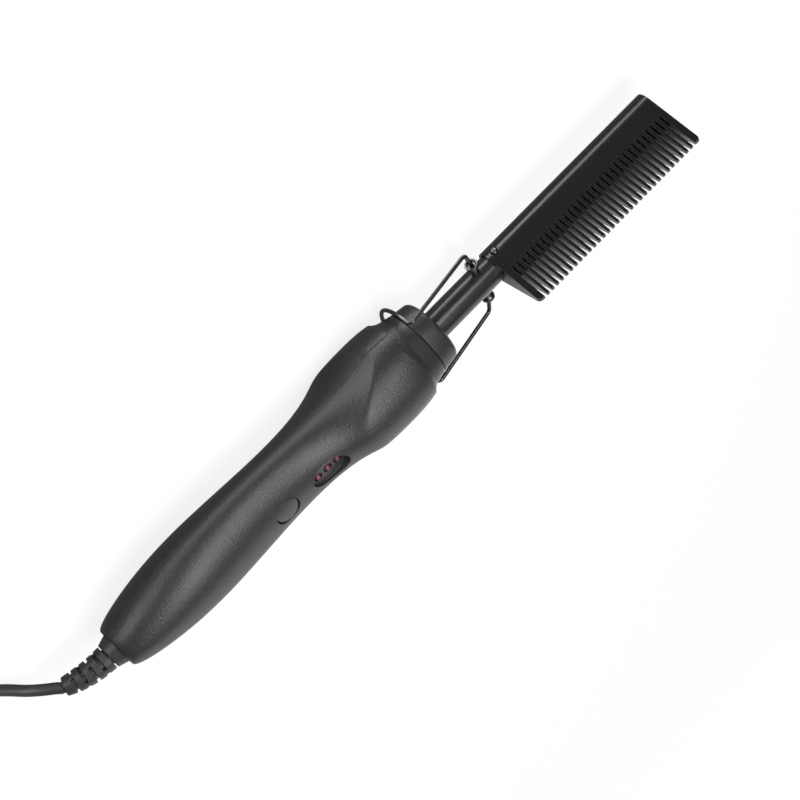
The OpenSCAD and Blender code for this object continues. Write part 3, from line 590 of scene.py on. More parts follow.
def dress(obj, finish, *replaced, body="tool", angle=35):
    """Gives a piece its finish, its smooth faces and the body it moves with, and hides the nodes it stands
    for.
    """
    obj.data.materials.clear()
    obj.data.materials.append(FINISHES[finish])
    obj.data.shade_smooth()
    obj.data.set_sharp_from_angle(angle=radians(angle))
    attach(obj, body)
    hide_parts(*replaced)
    return obj


# ---------- handle ----------

def ease(u, bias=1.0):
    return np.sin(0.5 * PI * np.clip(u, 0, 1) ** bias) ** 2


def mix(a, b, u):
    return a + (b - a) * u


def grip_h(s):
    """Half height of the grip, which would run on upwards through the bulge."""
    butt = mix(BUTT_R, BELLY_H, np.sin(0.5 * PI * np.clip(s / BELLY_H_AT, 0, 1)) ** 0.45)
    grip = mix(BELLY_H, WAIST_H, ease((s - BELLY_H_AT) / (WAIST_H_AT - BELLY_H_AT)))
    rise = RISE_H * (np.clip(s - RISE_FROM, 0, None) / RISE_L) ** RISE_POWER
    return np.where(s < BELLY_H_AT, butt, grip) + rise


def dome_h(s):
    """Half height of the round bulge, an arch."""
    back = np.clip(BACK_DROP * np.clip(BULGE_AT - s, 0, None) ** 2.5, 0, DEEPEST_DROP)
    front = FRONT_DROP * np.clip(s - BULGE_AT, 0, None) ** 2.7
    return BULGE_R - back - front


def half_w(s):
    """Half width of the grip, which runs on into the hollows in the bulge's sides."""
    s = vec(s)
    butt = mix(BUTT_R, BELLY_W, np.sin(0.5 * PI * np.clip(s / BELLY_W_AT, 0, 1)) ** 0.8)
    grip = mix(BELLY_W, WAIST_W, ease((s - BELLY_W_AT) / (WAIST_W_AT - BELLY_W_AT), 1.2))
    hollow = WAIST_W + HOLLOW_RISE * np.clip((s - WAIST_W_AT) / HOLLOW_L, 0, None) ** 1.7
    return np.select([s < BELLY_W_AT, s < WAIST_W_AT], [butt, grip], hollow)


def oval_r(w, h, a):
    return 1 / np.sqrt((np.cos(a) / w) ** 2 + (np.sin(a) / h) ** 2)


def seam_step(s):
    return SEAM_STEP * np.clip((s - WAIST_W_AT) / 12, 0, 1) * np.clip((WAIST_W_AT + HOLLOW_L - s) / 1.5, 0, 1)


def handle_r(s, a, lower=False):
    """Radius of the handle at s from the butt and at angle a from +Y, with its crease softened."""
    s = vec(s)
    grip = oval_r(half_w(s) - (seam_step(s) if lower else 0), grip_h(s), a)
    dome = oval_r(DOME_SIDE * dome_h(s), dome_h(s), a)
    soft = CREASE * (1 + CREASE_FADE * np.sin(a) ** 6)
    near = np.clip(soft - np.abs(grip - dome), 0, None)
    return np.where(s < DOME_FROM, grip, np.minimum(grip, dome) - near ** 2 / (4 * soft))


def half_h(s):
    return handle_r(s, 0.5 * PI)


def skin_height(s, y, lower):
    """Height of the handle's skin above its axis at s and y, near the middle."""
    sign = -1 if lower else 1
    z = half_h(s) * sign
    for _ in range(6):
        a = np.arctan2(z, y)
        r = handle_r(s, a, lower)
        z = sign * np.sqrt(np.clip(r ** 2 - y ** 2, 0.01, None))
    return z


def shell(name, lower):
    """One half of the handle, from the butt wall to the end of its nose."""
    sign = -1 if lower else 1
    stations = np.concatenate([
        14 * (np.arange(26) / 25) ** 2, np.arange(16, 108, 2), np.arange(109, SHOULDER_AT - 0.3, 0.8),
        SHOULDER_AT - SHOULDER_ROUND + SHOULDER_ROUND * np.linspace(0, 1, 5)])
    offsets = SEAM_ROUND * np.array([0, 0.1, 0.25, 0.5, 1.0])
    drops = SEAM_ROUND * (1 - np.sqrt(1 - (1 - offsets / SEAM_ROUND) ** 2))
    rows = []

    def row(s, outer, inner):
        """Adds the section at s. The outer and inner functions give a radius for each angle."""
        at_seam = float(np.atleast_1d(outer(0.0))[0])
        near = offsets / at_seam
        angles = np.concatenate([near, np.linspace(near[-1], PI - near[-1], 148)[1:-1], (PI - near)[::-1]])
        r = outer(angles * sign)
        depth = mix(SEAM_SHALLOW, 1.0, min(1, max(0, (s - SEAM_DEEPENS_AT) / SEAM_DEEPENS_L)))
        r = r - depth * np.concatenate([drops, np.zeros(146), drops[::-1]])
        back = np.linspace(PI, 0, 49)
        rin = inner(back * sign)
        y = np.concatenate([r * np.cos(angles), rin * np.cos(back)])
        z = sign * np.concatenate([r * np.sin(angles), rin * np.sin(back)])
        rows.append(np.column_stack([np.full(len(y), X_BUTT + s), y, AXIS_Z + z]))

    def skin(s):
        past = max(0.0, s - SHOULDER_AT + SHOULDER_ROUND)
        drop = SHOULDER_ROUND - sqrt(max(0.0, SHOULDER_ROUND ** 2 - past ** 2))
        return lambda a: handle_r(s, vec(a), lower) - drop

    def cavity(s):
        def inner(a):
            r = handle_r(s, a, True) - WALL
            if not lower and abs(s - LAMPS_AT) < RECESS_HALF_L + 3:
                r = np.minimum(r, (RECESS_Z - 1.5) / np.clip(np.sin(a), 0.05, 1))
            return r
        return inner

    def plain(r):
        return lambda a: np.full(np.shape(a), float(r))

    # The bore through the butt wall, the wide cavity, and the bore through the nose
    for start, end, bore_r in ((0, BUTT_WALL, BOOT_NECK_R), (BUTT_WALL, RIB_AT, None),
                               (RIB_AT, stations[-1], NOSE_BORE_R)):
        for s in (start, *stations[(stations > start) & (stations < end)], end):
            row(s, skin(s), plain(bore_r) if bore_r else cavity(s))
    spigot_end = HANDLE_L + NECK_L - 0.05
    for s, r in ((SHOULDER_AT, SPIGOT_R), (spigot_end, SPIGOT_R), (spigot_end, TIP_SPIGOT_R),
                 (HANDLE_L + NOSE_L, TIP_SPIGOT_R)):
        row(s, plain(r), plain(NOSE_BORE_R))
    return solid(name, loft(rows))


def opening_cutter(x0, half_x, half_y, bottom, rim, floor_round, lower=False, count=96):
    """What cuts an oval opening into the skin: a flat floor and a rim rounded where it meets the skin."""
    sign = -1 if lower else 1
    past_skin = 14.0
    angles = full_turn(count)
    rings = []

    def ring(grow, z):
        x = x0 + (half_x + grow) * np.cos(angles)
        y = (half_y + grow) * np.sin(angles)
        rings.append(np.column_stack([X_BUTT + x, y, AXIS_Z + np.broadcast_to(z, x.shape)]))

    for w in quarter(5):
        ring(floor_round * (sin(w) - 1), bottom + sign * floor_round * (1 - cos(w)))
    s = x0 + (half_x + rim) * np.cos(angles)
    y = (half_y + rim) * np.sin(angles)
    start = skin_height(s, y, lower) - sign * rim
    for w in np.radians([0, 15, 30, 45, 60, 72, 82]):
        ring(rim * (1 - cos(w)), start + sign * rim * sin(w))
    ring(rim, sign * (half_h(x0) + past_skin))
    return loft(rings)


upper = shell("handle_upper", False)
cut(upper, "upper_cutters",
    opening_cutter(LAMPS_AT, RECESS_HALF_L, RECESS_HALF_W, RECESS_Z, 0.35, 0.3),
    opening_cutter(BUTTON_AT, BUTTON_R + BUTTON_GAP, BUTTON_R + BUTTON_GAP, 2.0, 0.22, 0.05))
lamp_places = [(X_BUTT + LAMPS_AT + i * LAMP_PITCH, 0, AXIS_Z) for i in (-1, 0, 1)]
lamp_hole = rounded([
    (4, 0, 0), (4, LAMP_R + 0.3, 0), (RECESS_Z - 0.15, LAMP_R + 0.3, 0), (RECESS_Z + 0.05, LAMP_R + 0.5, 0),
    (RECESS_Z + 0.3, LAMP_R + 0.5, 0), (RECESS_Z + 0.3, 0, 0)])
cut(upper, "lamp_holes", *[turned(lamp_hole, place, (0, 0, 1), 48) for place in lamp_places])
dress(upper, "handle_plastic", "upper_shell")

lower = shell("handle_lower", True)
wells = solid("screw_wells", *[
    turned([(-half_h(s) + 1.0, 0), (-half_h(s) + 1.0, 3.6), (-2.0, 3.6), (-2.0, 0)],
           (X_BUTT + s, 0, AXIS_Z), (0, 0, 1), 48) for s in SCREWS_AT])
combine(lower, wells, "UNION")
well_r = SCREW_HEAD_R + 0.3
cut(lower, "well_cutters", *[
    opening_cutter(s, well_r, well_r, SCREW_SEAT, 0.3, 0.1, True, 64) for s in SCREWS_AT])
dress(lower, "lower_plastic", "lower_shell")

# ---------- neck ring, cap and barrel ----------

RING_BACK = SHOULDER_AT - HANDLE_L
ring_points, ring_faces = turned(rounded([
    (RING_BACK + 0.04, SPIGOT_R + 0.05, 0.1), (RING_BACK + 0.04, RING_R, 0.12),
    (RING_BACK + RING_FLARE_L, RING_NECK_R, 1.6), (NECK_L - 0.15, 14.7, 0.3),
    (NECK_L - 0.15, SPIGOT_R + 0.05, 0.1)], 6), (X_SHOULDER, 0, AXIS_Z), sides=160)
ring_points = np.array(ring_points)
flare = np.hypot(ring_points[:, 1], ring_points[:, 2] - AXIS_Z) - RING_NECK_R
ring_points[:, 1] *= 1 - (1 - DOME_SIDE) * np.clip(flare / (RING_R - RING_NECK_R), 0, 1)
ring = solid("ring_at_neck", (ring_points, ring_faces))
dress(ring, "cap_plastic", "neck_ring")

CAP_FRONT = CAP_L - 0.15
cap = solid("cap_front", turned(rounded([
    (0, TIP_SPIGOT_R + 0.05, 0), (0, 14.6, 0.3), (CAP_FRONT, 13.5, 2.3), (CAP_FRONT, BARREL_R + 0.05, 0.35),
    (CAP_FRONT - 2.5, BARREL_R + 0.05, 0), (CAP_FRONT - 2.5, TIP_SPIGOT_R + 0.05, 0)], 8),
    (X_CAP + 0.15, 0, AXIS_Z), sides=160))
dress(cap, "cap_plastic", "front_cap")

barrel = solid("barrel_tube", turned(rounded([
    (X_BUTT + BARREL_BACK, BARREL_BORE_R, 0.1), (X_BUTT + BARREL_BACK, BARREL_R, 0.2),
    (X_COMB + BARREL_SEAT, BARREL_R, 0.2), (X_COMB + BARREL_SEAT, BARREL_BORE_R, 0.1)]), sides=128))
dress(barrel, "barrel_paint", "barrel")


# ---------- comb ----------

def comb_section():
    """The comb across its length: flat flanks tangent to the round spine, as (y, height) from the axis."""
    reach = hypot(COMB_TIP_T / 2, COMB_H)
    lean = asin(SPINE_R / reach) - atan2(COMB_TIP_T / 2, COMB_H)
    arc = [(SPINE_R * cos(w), SPINE_R * sin(w)) for w in np.linspace(PI - lean, 2 * PI + lean, 65)]
    return np.array([(-COMB_TIP_T / 2, COMB_H), *arc, (COMB_TIP_T / 2, COMB_H)])


def comb_blank():
    """The comb before its slots: a bar with the two upper corners rounded, one larger than the other."""
    section = comb_section()
    near_r, far_r = 2.0, 1.2
    stations = [(X_COMB + near_r * (1 - cos(w)), near_r * (1 - sin(w)))
                for w in quarter(8)]
    stations += [(X_TIP - far_r * (1 - cos(w)), far_r * (1 - sin(w)))
                 for w in np.linspace(0.5 * PI, 0, 7)]
    flank = section[-1] - section[-2]
    rows = []
    for x, drop in stations:
        part = section.copy()
        back = flank / flank[1] * -drop
        part[-1] += back
        part[0] += back * (-1, 1)
        rows.append(np.column_stack([np.full(len(part), x), part[:, 0], AXIS_Z + part[:, 1]]))
    return solid("comb_blank", loft(rows))


def slot_cutter():
    """One slot's shape, square to the comb, its flat root at the origin."""
    outline = rounded([(-SLOT_W / 2, 0, SLOT_CORNER), (SLOT_W / 2, 0, SLOT_CORNER),
                       (SLOT_W / 2, COMB_H, 0), (-SLOT_W / 2, COMB_H, 0)], 4)
    rows = [np.column_stack([outline[:, 0], np.full(len(outline), y), outline[:, 1]]) for y in (-12.0, 12.0)]
    return solid("comb_slot", loft(rows))


comb = comb_blank()
cut(comb, "comb_bore", turned([
    (X_COMB - 1, 0), (X_COMB - 1, BARREL_R + 0.35), (X_COMB + 0.02, BARREL_R + 0.32),
    (X_COMB + 0.3, BARREL_R + 0.02), (X_COMB + BARREL_SEAT, BARREL_R + 0.02),
    (X_COMB + BARREL_SEAT, ROD_BORE_R), (X_TIP - ROD_END, ROD_BORE_R), (X_TIP - ROD_END, 0)], sides=64))
cut(comb, "comb_screw_seat", turned([
    (5.4, 0), (5.4, 1.08), (SPINE_R - 0.3, 1.08), (SPINE_R - 0.3, 1.85), (9, 1.85), (9, 0)],
    (X_CLAMP_SCREW, 0, AXIS_Z), (0, 1, 0), 40))
slot_shape = slot_cutter()
first_slot = (COMB_L - (SLOTS - 1) * SLOT_PITCH) / 2
grown(comb, comb_tree(), {
    "Slot": slot_shape, "Count": SLOTS, "Pitch": SLOT_PITCH * MM,
    "First slot": [(X_COMB + first_slot) * MM, 0.0, (AXIS_Z + SLOT_ROOT) * MM],
    "Finish": FINISHES["comb_paint"]})
bpy.data.objects.remove(slot_shape)
face_outwards(comb)
bevel(comb, 0.16, 32)
comb.name = comb.data.name = "comb_blade"
dress(comb, "comb_paint", "comb", angle=40)
flat_faces = comb.modifiers.new("flat_faces", "WEIGHTED_NORMAL")
flat_faces.keep_sharp = True
apply_modifiers(comb)


# ---------- screws, studs and the wire stand ----------

def cross_screw(name, head_r, head_h, shank_r, shank_l, origin, axis):
    """Pan head screw with a cross recess: axis points from the tip to the head."""
    axis, u, v = basis(axis)
    body = solid(name, turned(rounded([
        (-shank_l, 0, 0), (-shank_l, shank_r, 0.3), (0, shank_r, 0), (0, head_r, 0.1),
        (head_h * 0.45, head_r, 0.25 * head_r), (head_h, head_r * 0.62, 0.3 * head_r),
        (head_h * 1.02, 0, 0)], 5), origin, axis, 48))
    origin = vec(origin)
    recess_half_w = 0.13
    for a, b in ((u, v), (v, u)):
        rows = []
        for height, half_l in ((head_h * 0.1, 0.30), (head_h + 0.5, 0.66)):
            rows.append([origin + axis * height + a * head_r * i * half_l + b * head_r * j * recess_half_w
                         for i, j in SQUARE])
        cut(body, "recess", loft(rows))
    return body


parts_on_points = row_tree()


def row_of(name, part, places, finish):
    """Copies of a part, made at the origin, on the given places."""
    spots = new_object(name, places, [])
    grown(spots, parts_on_points, {"Part": part, "Finish": FINISHES[finish]})
    bpy.data.objects.remove(part)
    return spots


screw = cross_screw("shell_screw", SCREW_HEAD_R, 1.8, 1.2, 12.0, (0, 0, 0), (0, 0, -1))
screws = row_of("screws_of_shells", screw, [(X_BUTT + s, 0, AXIS_Z + SCREW_SEAT) for s in SCREWS_AT],
                "bright_steel")
dress(screws, "bright_steel", "shell_screws")

clamp_screw = cross_screw("screw_of_comb", 1.55, 1.2, 0.98, SPINE_R - BARREL_BORE_R + 0.4,
                          (X_CLAMP_SCREW, SPINE_R - 0.3, AXIS_Z), (0, 1, 0))
dress(clamp_screw, "dark_steel", "comb_screw")


def stud_profile():
    """A cup with a rounded back, a raised worn rim and a hollow that the wire goes into."""
    return rounded([
        (3.9, 0, 0), (3.9, 1.9, 0.1), (4.6, 1.9, 0.1), (4.75, 1.3, 0), (6.02, 1.3, 0), (6.02, 1.8, 0.15),
        (9.5, 1.8, 0.7), (10.2, 2.6, 0.7), (11.1, 2.75, 0.3), (STUD_OUT, 2.72, 0.28), (STUD_OUT, 2.1, 0.25),
        (10.85, 1.5, 0.4), (10.75, 0.86, 0.1), (6.4, 0.86, 0), (6.4, 0, 0)], 5)


studs = solid("pivot_studs", *[turned(stud_profile(), (X_PIVOT, 0, AXIS_Z), (0, side, 0), 64)
                               for side in (1, -1)])
dress(studs, "stud_steel", "stand_studs")

# Bent by hand, so the leg on the -Y side lies a little further back
wire_corners = [
    (X_PIVOT, 6.8, 0), (X_PIVOT, 12.2, 0), (X_PIVOT - 0.7, 18.6, 0), (X_FOOT, FOOT_HALF_W, ELBOW_Z),
    (X_FOOT, FOOT_HALF_W, FOOT_Z), (X_FOOT - 1.8, -FOOT_HALF_W - 0.5, FOOT_Z),
    (X_FOOT - 1.8, -FOOT_HALF_W - 0.5, ELBOW_Z), (X_PIVOT - 2.3, -18.6, 0), (X_PIVOT, -12.2, 0),
    (X_PIVOT, -6.8, 0)]
wire_path = bent([(x, y, z + AXIS_Z) for x, y, z in wire_corners],
                 [2, 2, 2, FOOT_HALF_W, FOOT_HALF_W, 2, 2, 2])
stand = solid("stand_of_wire", tube(wire_path, WIRE_R, 20))
dress(stand, "dark_steel", "wire_stand", body="stand", angle=60)

# ---------- button and lamps ----------

button = solid("button_cap", turned(rounded([
    (7.32, 0, 0), (7.32, 1.72, 0), (7.6, 1.72, 0), (7.6, BUTTON_R + 1, 0.05), (8.05, BUTTON_R + 1, 0.05),
    (8.15, BUTTON_R, 0.1), (11.15, BUTTON_R, 0.3), (11.42, 4.0, 2), (11.64, 2.4, 2), (BUTTON_TOP, 0.8, 1),
    (BUTTON_TOP, 0, 0)], 6), (X_BUTT + BUTTON_AT, 0, AXIS_Z), (0, 0, 1), 96))
dress(button, "button_plastic", "power_button", body="button")

LAMP_DOME = RECESS_Z + 0.6 - LAMP_R
lamp = solid("lamp", turned(
    [(LAMP_DOME - 4.3, 0), (LAMP_DOME - 4.3, LAMP_R + 0.25), (LAMP_DOME - 3.4, LAMP_R + 0.25),
     (LAMP_DOME - 3.4, LAMP_R)]
    + [(LAMP_DOME + LAMP_R * sin(w), LAMP_R * cos(w)) for w in quarter(13)],
    (0, 0, 0), (0, 0, 1), 40))
lamps = row_of("three_lamps", lamp, lamp_places, "lamp_red")
dress(lamps, "lamp_red", "lamps")

# ---------- strain relief ----------

DROOP_FROM = 4.6
RELIEF_END = 23.2
RELIEF_CORE_R = 3.1
RELIEF_SKIN = ((0, 4.3, 4.8, 7.6, 11.4, 15.1, 18.8, 23.2), (6.7, 5.4, 5.2, 5.1, 4.9, 4.65, 4.35, 3.7))
RELIEF_GAPS = ((7.6, 8.9), (11.4, 12.7), (15.1, 16.3), (18.8, 20.0))
WEB_HALF_ANGLE = radians(13)


def relief_at(d):
    """The middle of the relief at d from the butt: it droops under the cord's weight."""
    droop = max(0.0, d - DROOP_FROM) ** 2
    return np.array([X_BUTT - d, 0.003 * droop, AXIS_Z - 0.0106 * droop])


def relief_dir(d):
    return unit(relief_at(d + 0.1) - relief_at(d - 0.1))


def relief_skin(d):
    return float(np.interp(d, *RELIEF_SKIN))


def relief_point(d, r, angle):
    """A point on the relief: the angle starts at +Y and turns towards +Z."""
    t = relief_dir(d)
    up = unit(vec((0, 0, 1)) - t * t[2])
    side = np.cross(up, t)
    side = side if side[1] > 0 else -side
    return relief_at(d) + r * (cos(angle) * side + sin(angle) * up)


def relief_body():
    """The tapered body with its thin slit behind the cone."""
    rounding = 0.25
    rings = [(-BUTT_WALL - 2, 3), (-BUTT_WALL - 2, 7), (-BUTT_WALL - 0.1, 7), (-BUTT_WALL - 0.1, 5), (0, 5)]
    rings += [(0.0, relief_skin(0) - 0.15), (0.12, relief_skin(0.12))]
    rings += [(d, relief_skin(d)) for d in (1.2, 2.2, 3.2, 4.1)] + [(4.3, relief_skin(4.3) - 0.2)]
    rings += [(4.3, 3.4), (4.8, 3.4), (4.8, relief_skin(4.8) - 0.2), (4.95, relief_skin(4.95))]
    rings += [(d, relief_skin(d)) for d in np.arange(5.4, RELIEF_END - rounding, 0.45)]
    rings += [(RELIEF_END - rounding * (1 - sin(w)),
               relief_skin(RELIEF_END) - rounding * (1 - cos(w))) for w in quarter(5)]
    rings += [(RELIEF_END, CORD_R + 0.05), (RELIEF_END - 0.4, CORD_R + 0.02), (RELIEF_END - 0.4, 0.5)]
    return loft([[relief_point(d, r, a) for a in full_turn(72)] for d, r in rings])


def window_cutter(start, end, first, last):
    """What cuts a window with round ends between two ribs, from one angle to another."""
    half = (end - start) / 2
    middle = (start + end) / 2
    half_angle = half / relief_skin(middle)
    columns = [(first + half_angle * (1 - cos(w)), half * sin(w))
               for w in np.linspace(0.12, 0.5 * PI, 6)]
    columns += [(a, half) for a in np.linspace(columns[-1][0], last - half_angle, 26)[1:-1]]
    columns += [(last - half_angle * (1 - cos(w)), half * sin(w))
                for w in np.linspace(0.5 * PI, 0.12, 6)]
    rim = 0.14
    # How far the side has grown, and its height above the skin: a straight wall, a rounded rim, then clear
    wall = ((0, None), (0, -rim), (rim * 0.35, -rim * 0.54), (rim, 0.004), (rim, 2.0))
    sections = []
    for a, reach in columns:
        section = []
        toward = 1 if a > (first + last) / 2 else -1
        for side in (-1, 1):
            ring = []
            for grow, above in wall:
                d = middle + side * (reach + grow)
                skin = relief_skin(d)
                spread = toward * grow / skin if reach < half else 0
                ring.append(relief_point(d, RELIEF_CORE_R if above is None else skin + above, a + spread))
            section += ring if side < 0 else ring[::-1]
        sections.append(section)
    return loft(sections)


relief = solid("strain_relief_ribbed", relief_body())
windows = []
for i, (start, end) in enumerate(RELIEF_GAPS):
    base = 0.5 * PI if i % 2 == 0 else 0.0
    for turn in (base, base + PI):
        windows.append(window_cutter(start, end, turn + WEB_HALF_ANGLE, turn + PI - WEB_HALF_ANGLE))
cut(relief, "relief_windows", *windows)
dress(relief, "cord_rubber", "strain_relief")

# ---------- cord ----------

LEAD_ROUTE = [
    (-170.5, 1.8, 14.3), (-173.6, 3.1, 12.2), (-178.5, 6.3, 9.1), (-183.8, 12.2, 6.3), (-190, 19.2, 4.2),
    (-197, 25.6, 2.8), (-205, 31, 2.3), (-213.5, 35.2, 2.25), (-222, 38.2, 2.25), (-231, 39.9, 2.25)]
COIL_X, COIL_Y = -240.0, 11.0
COIL_OUTER, COIL_MIDDLE, COIL_INNER = 13 * CORD_R, 11 * CORD_R, 9 * CORD_R
LAYER_TURN, CLIMB_TURN, LAST_TURN = 720, 90, 555  # degrees: a layer, the way up to the next, the last layer
COIL_LAYERS = 5
COIL_H = COIL_LAYERS * 2 * CORD_R
TAIL_FROM, TAIL_LEAVE_R, TAIL_TURN_R = radians(-75), 22.3, 8 * CORD_R
PLUG_T, PLUG_L, PIN_PITCH = 13.7, 38.0, 19


def coil_point(wound):
    """Place on the coil after winding by that many degrees from its +Y side."""
    layer, angle = divmod(wound, LAYER_TURN + CLIMB_TURN)
    share = min(1.0, angle / LAYER_TURN)
    r = mix(COIL_OUTER, COIL_INNER, share if layer % 2 == 0 else 1 - share)
    z = CORD_R * (1 + 2 * layer) + 2 * CORD_R * float(ease((angle - LAYER_TURN) / CLIMB_TURN))
    a = radians(90 + wound)
    return np.array([COIL_X + r * cos(a), COIL_Y + r * sin(a), z])


exit_point = relief_at(RELIEF_END)
wound = (COIL_LAYERS - 1) * (LAYER_TURN + CLIMB_TURN) + LAST_TURN
lead = curve_through([exit_point, exit_point + 1.2 * relief_dir(RELIEF_END), *LEAD_ROUTE, coil_point(0)], 2.0)
coil = [coil_point(a) for a in np.arange(6, wound - 3, 6.0)]
tail_x = COIL_X + (TAIL_LEAVE_R - TAIL_TURN_R) * cos(TAIL_FROM)
tail_y = COIL_Y + (TAIL_LEAVE_R - TAIL_TURN_R) * sin(TAIL_FROM)
plug_z = COIL_H + 0.02 + PLUG_T / 2
tail = [(tail_x + TAIL_TURN_R * cos(mix(TAIL_FROM, 0.5 * PI, u)),
         tail_y + TAIL_TURN_R * sin(mix(TAIL_FROM, 0.5 * PI, u)),
         mix((2 * COIL_LAYERS - 1) * CORD_R, plug_z, float(ease(u)))) for u in np.linspace(0, 1, 25)]
tail.append((tail_x - 2, tail_y + TAIL_TURN_R, plug_z))
cord_path = np.concatenate([lead, coil, tail])
cord = solid("mains_cord", tube(cord_path, CORD_R, 14))
dress(cord, "cord_rubber", "cord_lead", "cord_coil", "cord_tail", angle=60)

plug_x, plug_y = tail_x - 2.05, tail_y + TAIL_TURN_R


def stadium(x, width, thick):
    """Outline of the plug across its length, x behind the cord's end."""
    half = (width - thick) / 2
    right = [(half + thick / 2 * cos(w), thick / 2 * sin(w))
             for w in np.linspace(-0.5 * PI, 0.5 * PI, 16)]
    outline = right + [(-a, -b) for a, b in right]
    return [(plug_x - x, plug_y - a, plug_z + b) for a, b in outline]


plug = solid("plug_moulding", loft([stadium(x, width, thick) for x, width, thick in (
    (0, 5.6, 5.6), (0.2, 6.1, 6.1), (3, 6.8, 6.8), (6, 7.8, 7.6), (9, 9.0, 8.6), (11, 10.6, 9.6),
    (12.4, 14, 10.6), (14, 19, 11.5), (16, 22.6, 12.0), (18.5, 24, 12.1), (23, 24.6, 12.1), (26, 26.2, 12.2),
    (28, 29.3, 12.6), (29.4, 32.6, 13.2), (30.6, 34.6, 13.6), (32, 35.2, PLUG_T), (37, 35.3, PLUG_T),
    (37.6, 35.1, 13.5), (37.95, 34.6, 13.0), (PLUG_L, 34.2, 12.6))]))
for groove in (17.0, 19.6, 22.2, 24.8):
    band = solid("groove_band", loft([stadium(x, 40, 20) for x in (groove, groove + 0.9)]))
    cut(band, "groove_core", loft([stadium(x, 23.0, 11.1) for x in (groove - 0.1, groove + 1.0)]))
    combine(plug, band, "DIFFERENCE")
bevel(plug, 0.15, 40)
dress(plug, "cord_rubber", "plug_body")

pin = solid("plug_pin", turned(rounded([
    (0, 0, 0), (0, 2.0, 0), (17, 2.0, 0), (18.2, 1.7, 0.8), (19, 0.9, 0.8), (19, 0, 0)], 6),
    (0, 0, 0), (-1, 0, 0), 40))
pins = row_of("plug_two_pins", pin, [(plug_x - PLUG_L, plug_y + side * PIN_PITCH / 2, plug_z)
                                     for side in (-1, 1)], "bright_steel")
dress(pins, "bright_steel", "plug_pins")

tie_a = radians(35)
radial = np.array([cos(tie_a), sin(tie_a), 0])
along = np.array([-sin(tie_a), cos(tie_a), 0])
tie_middle = np.array([COIL_X, COIL_Y, 0]) + COIL_MIDDLE * radial


def tie_loop(half_out, half_w, bottom, top, corner):
    """A block round the coil's turns, with its upper corners rounded."""
    outline = rounded([(-half_out, bottom, 0), (half_out, bottom, 0), (half_out, top, corner),
                       (-half_out, top, corner)], 4)
    return loft([[tie_middle + radial * p + vec((0, 0, q)) + along * w for p, q in outline]
                 for w in (-half_w, half_w)])


tie = solid("tie_of_cord", tie_loop(7.55, 4.5, 0, COIL_H + 0.8, 1.2))
cut(tie, "tie_inside", tie_loop(6.75, 6, 0.4, COIL_H, 0.6))
bevel(tie, 0.12, 40)
dress(tie, "tie_strap", "cord_tie")

# ---------- camera, light and floor ----------

CAMERA_TURN, CAMERA_RISE, CAMERA_ROLL = (radians(a) for a in (9.75, 35.0, 45.43))
CAMERA_DISTANCE, LENS, IMAGE = 977.0, 2600.0, 800.0
AIM, AIM_PIXEL = np.array([-5.0, 0, AXIS_Z]), (381.2, 380.4)

back = np.array([-sin(CAMERA_TURN), cos(CAMERA_TURN) * cos(CAMERA_RISE),
                 cos(CAMERA_TURN) * sin(CAMERA_RISE)])
along_tool = unit(vec((1, 0, 0)) - back[0] * back)
across = np.cross(along_tool, back)
right = cos(CAMERA_ROLL) * along_tool + sin(CAMERA_ROLL) * across
above = sin(CAMERA_ROLL) * along_tool - cos(CAMERA_ROLL) * across
eye = (AIM + CAMERA_DISTANCE * back
       - (AIM_PIXEL[0] - IMAGE / 2) / LENS * CAMERA_DISTANCE * right
       + (AIM_PIXEL[1] - IMAGE / 2) / LENS * CAMERA_DISTANCE * above)

camera_data = bpy.data.cameras.new("camera")
camera_data.sensor_width = 36
camera_data.lens = 36 * LENS / IMAGE
camera_data.clip_start, camera_data.clip_end = 0.05, 20
camera = link(bpy.data.objects.new("camera", camera_data))
camera.matrix_world = Matrix([[right[i], above[i], back[i], eye[i] * MM] for i in range(3)] + [[0, 0, 0, 1]])
scene.camera = camera


LIGHTS_AIM = Vector((-0.02, 0, 0.02))


def softbox(name, azimuth, elevation, distance, wide, high, radiance, lean=0):
    """A flat lamp that faces the tool. The azimuth turns from +Y towards -X, and so does its leaning top."""
    a, e = radians(azimuth), radians(elevation)
    way = Vector((-sin(a) * cos(e), cos(a) * cos(e), sin(e)))
    light = bpy.data.lights.new(name, "AREA")
    light.shape, light.size, light.size_y = "RECTANGLE", wide, high
    light.energy = radiance * PI * wide * high
    obj = link(bpy.data.objects.new(name, light))
    obj.location = LIGHTS_AIM + distance * way
    obj.rotation_euler = (way.to_track_quat("Z", "Y") @ Quaternion((0, 0, 1), radians(lean))).to_euler()
    return obj


softbox("key_light", 3, 62, 0.7, 0.20, 0.38, 8.5, -20)
softbox("side_light", -20, 39, 0.7, 0.22, 0.26, 6.0, -30)
softbox("top_light", 40, 82, 0.7, 0.34, 0.28, 4.5)
softbox("low_light", 38, 9, 0.7, 0.25, 0.20, 6.0)
softbox("back_light", 180, 28, 1.1, 1.3, 0.8, 1.3)


def background_rays(tree):
    """The Light Path node, and 1 where the camera sees the background, also through glass."""
    rays = add(tree, "ShaderNodeLightPath").outputs
    return rays, larger(rays["Is Camera Ray"], rays["Is Transmission Ray"])


WORLD_LIGHT = 0.15
world = bpy.data.worlds.new("studio")
scene.world = world
world.use_nodes = True
background = world.node_tree.nodes["Background"]
feed(background, {"Color": (1, 1, 1, 1),
                  "Strength": larger(background_rays(world.node_tree)[1], WORLD_LIGHT)})

FLOOR_HALF = 3000
FLOOR_WHITE = 0.82                          # near the tool, rising to 1 far away
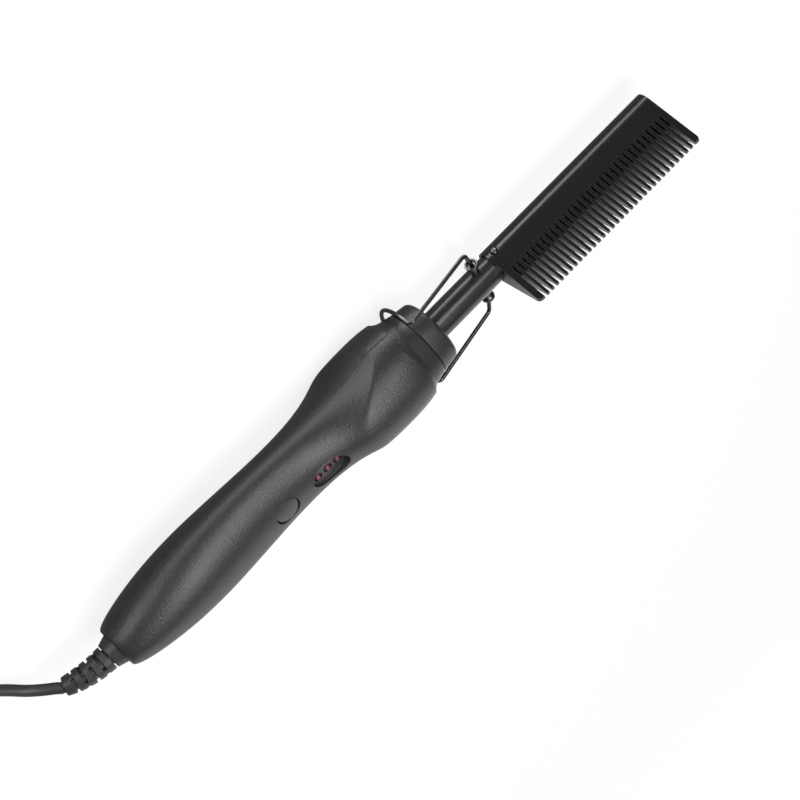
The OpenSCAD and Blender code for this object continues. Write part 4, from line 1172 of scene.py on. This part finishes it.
# Painted reflections in the floor, seen by glossy rays only: a bright card in front of the grip, a narrow
# strip under barrel and comb, a paler floor behind.
CARD_AT, CARD_GLOW_BACK, CARD_GLOW = 0.045, 4.6, 4.0
STRIP_AT, STRIP_FAR_AT, STRIP_GLOW = 0.034, 0.047, 9.0
BEHIND_GLOW_BACK, BEHIND_GLOW, DARK_GLOW = 0.75, 1.8, 0.12


def painted_floor_reflections(x, y):
    """Painted reflections that polished faces see in the floor, in metres: a card, a narrow strip and a pale
    back on darkness.
    """
    past = larger(0.0, minus(-0.05, x))
    card_edge = plus(CARD_AT, times(0.7, past))
    card_end = remap(plus(x, times(y, 0.5)), 0.04, 0.07, 1.0, 0.0)
    card = times(remap(minus(y, card_edge), -0.006, 0.02), card_end)
    card = times(card, remap(x, -0.2, -0.06, CARD_GLOW_BACK, CARD_GLOW))
    strip_y = larger(STRIP_AT, minus(STRIP_FAR_AT, times(x, 0.3)))
    off_strip = maths("ABSOLUTE", minus(y, strip_y))
    strip_ends = times(remap(x, -0.01, 0.02), remap(x, 0.05, 0.15, 1.0, 0.65))
    strip = times(times(remap(off_strip, 0.003, 0.009, 1.0, 0.0), strip_ends), STRIP_GLOW)
    behind = times(remap(y, -0.12, -0.03, 1.0, 0.0),
                   remap(x, 0.02, 0.06, BEHIND_GLOW_BACK, BEHIND_GLOW))
    return plus(plus(card, strip), plus(behind, DARK_GLOW))


floor = new_object("floor", [(FLOOR_HALF * i, FLOOR_HALF * j, 0) for i, j in SQUARE], [(0, 1, 2, 3)])
tree, shader = new_finish("floor_white")
feed(shader, {"Base Color": (0.22, 0.22, 0.22, 1), "Roughness": 0.9, "Specular IOR Level": 0.1,
              "Emission Color": (1, 1, 1, 1)})
rays, seen = background_rays(tree)
place = object_place(tree)
spot = add(tree, "ShaderNodeSeparateXYZ", inputs={0: place}).outputs
away = add(tree, "ShaderNodeVectorMath", operation="LENGTH", inputs={0: place}).outputs["Value"]
white = times(seen, remap(away, 0.4, 1.6, FLOOR_WHITE, 1.0))
# Glossy rays see the painted reflections in the floor.
painted_reflection = times(rays["Is Glossy Ray"], painted_floor_reflections(spot["X"], spot["Y"]))
feed(shader, {"Emission Strength": larger(white, painted_reflection)})
floor.data.materials.append(FINISHES["floor_white"])

scene.view_settings.view_transform = "Standard"
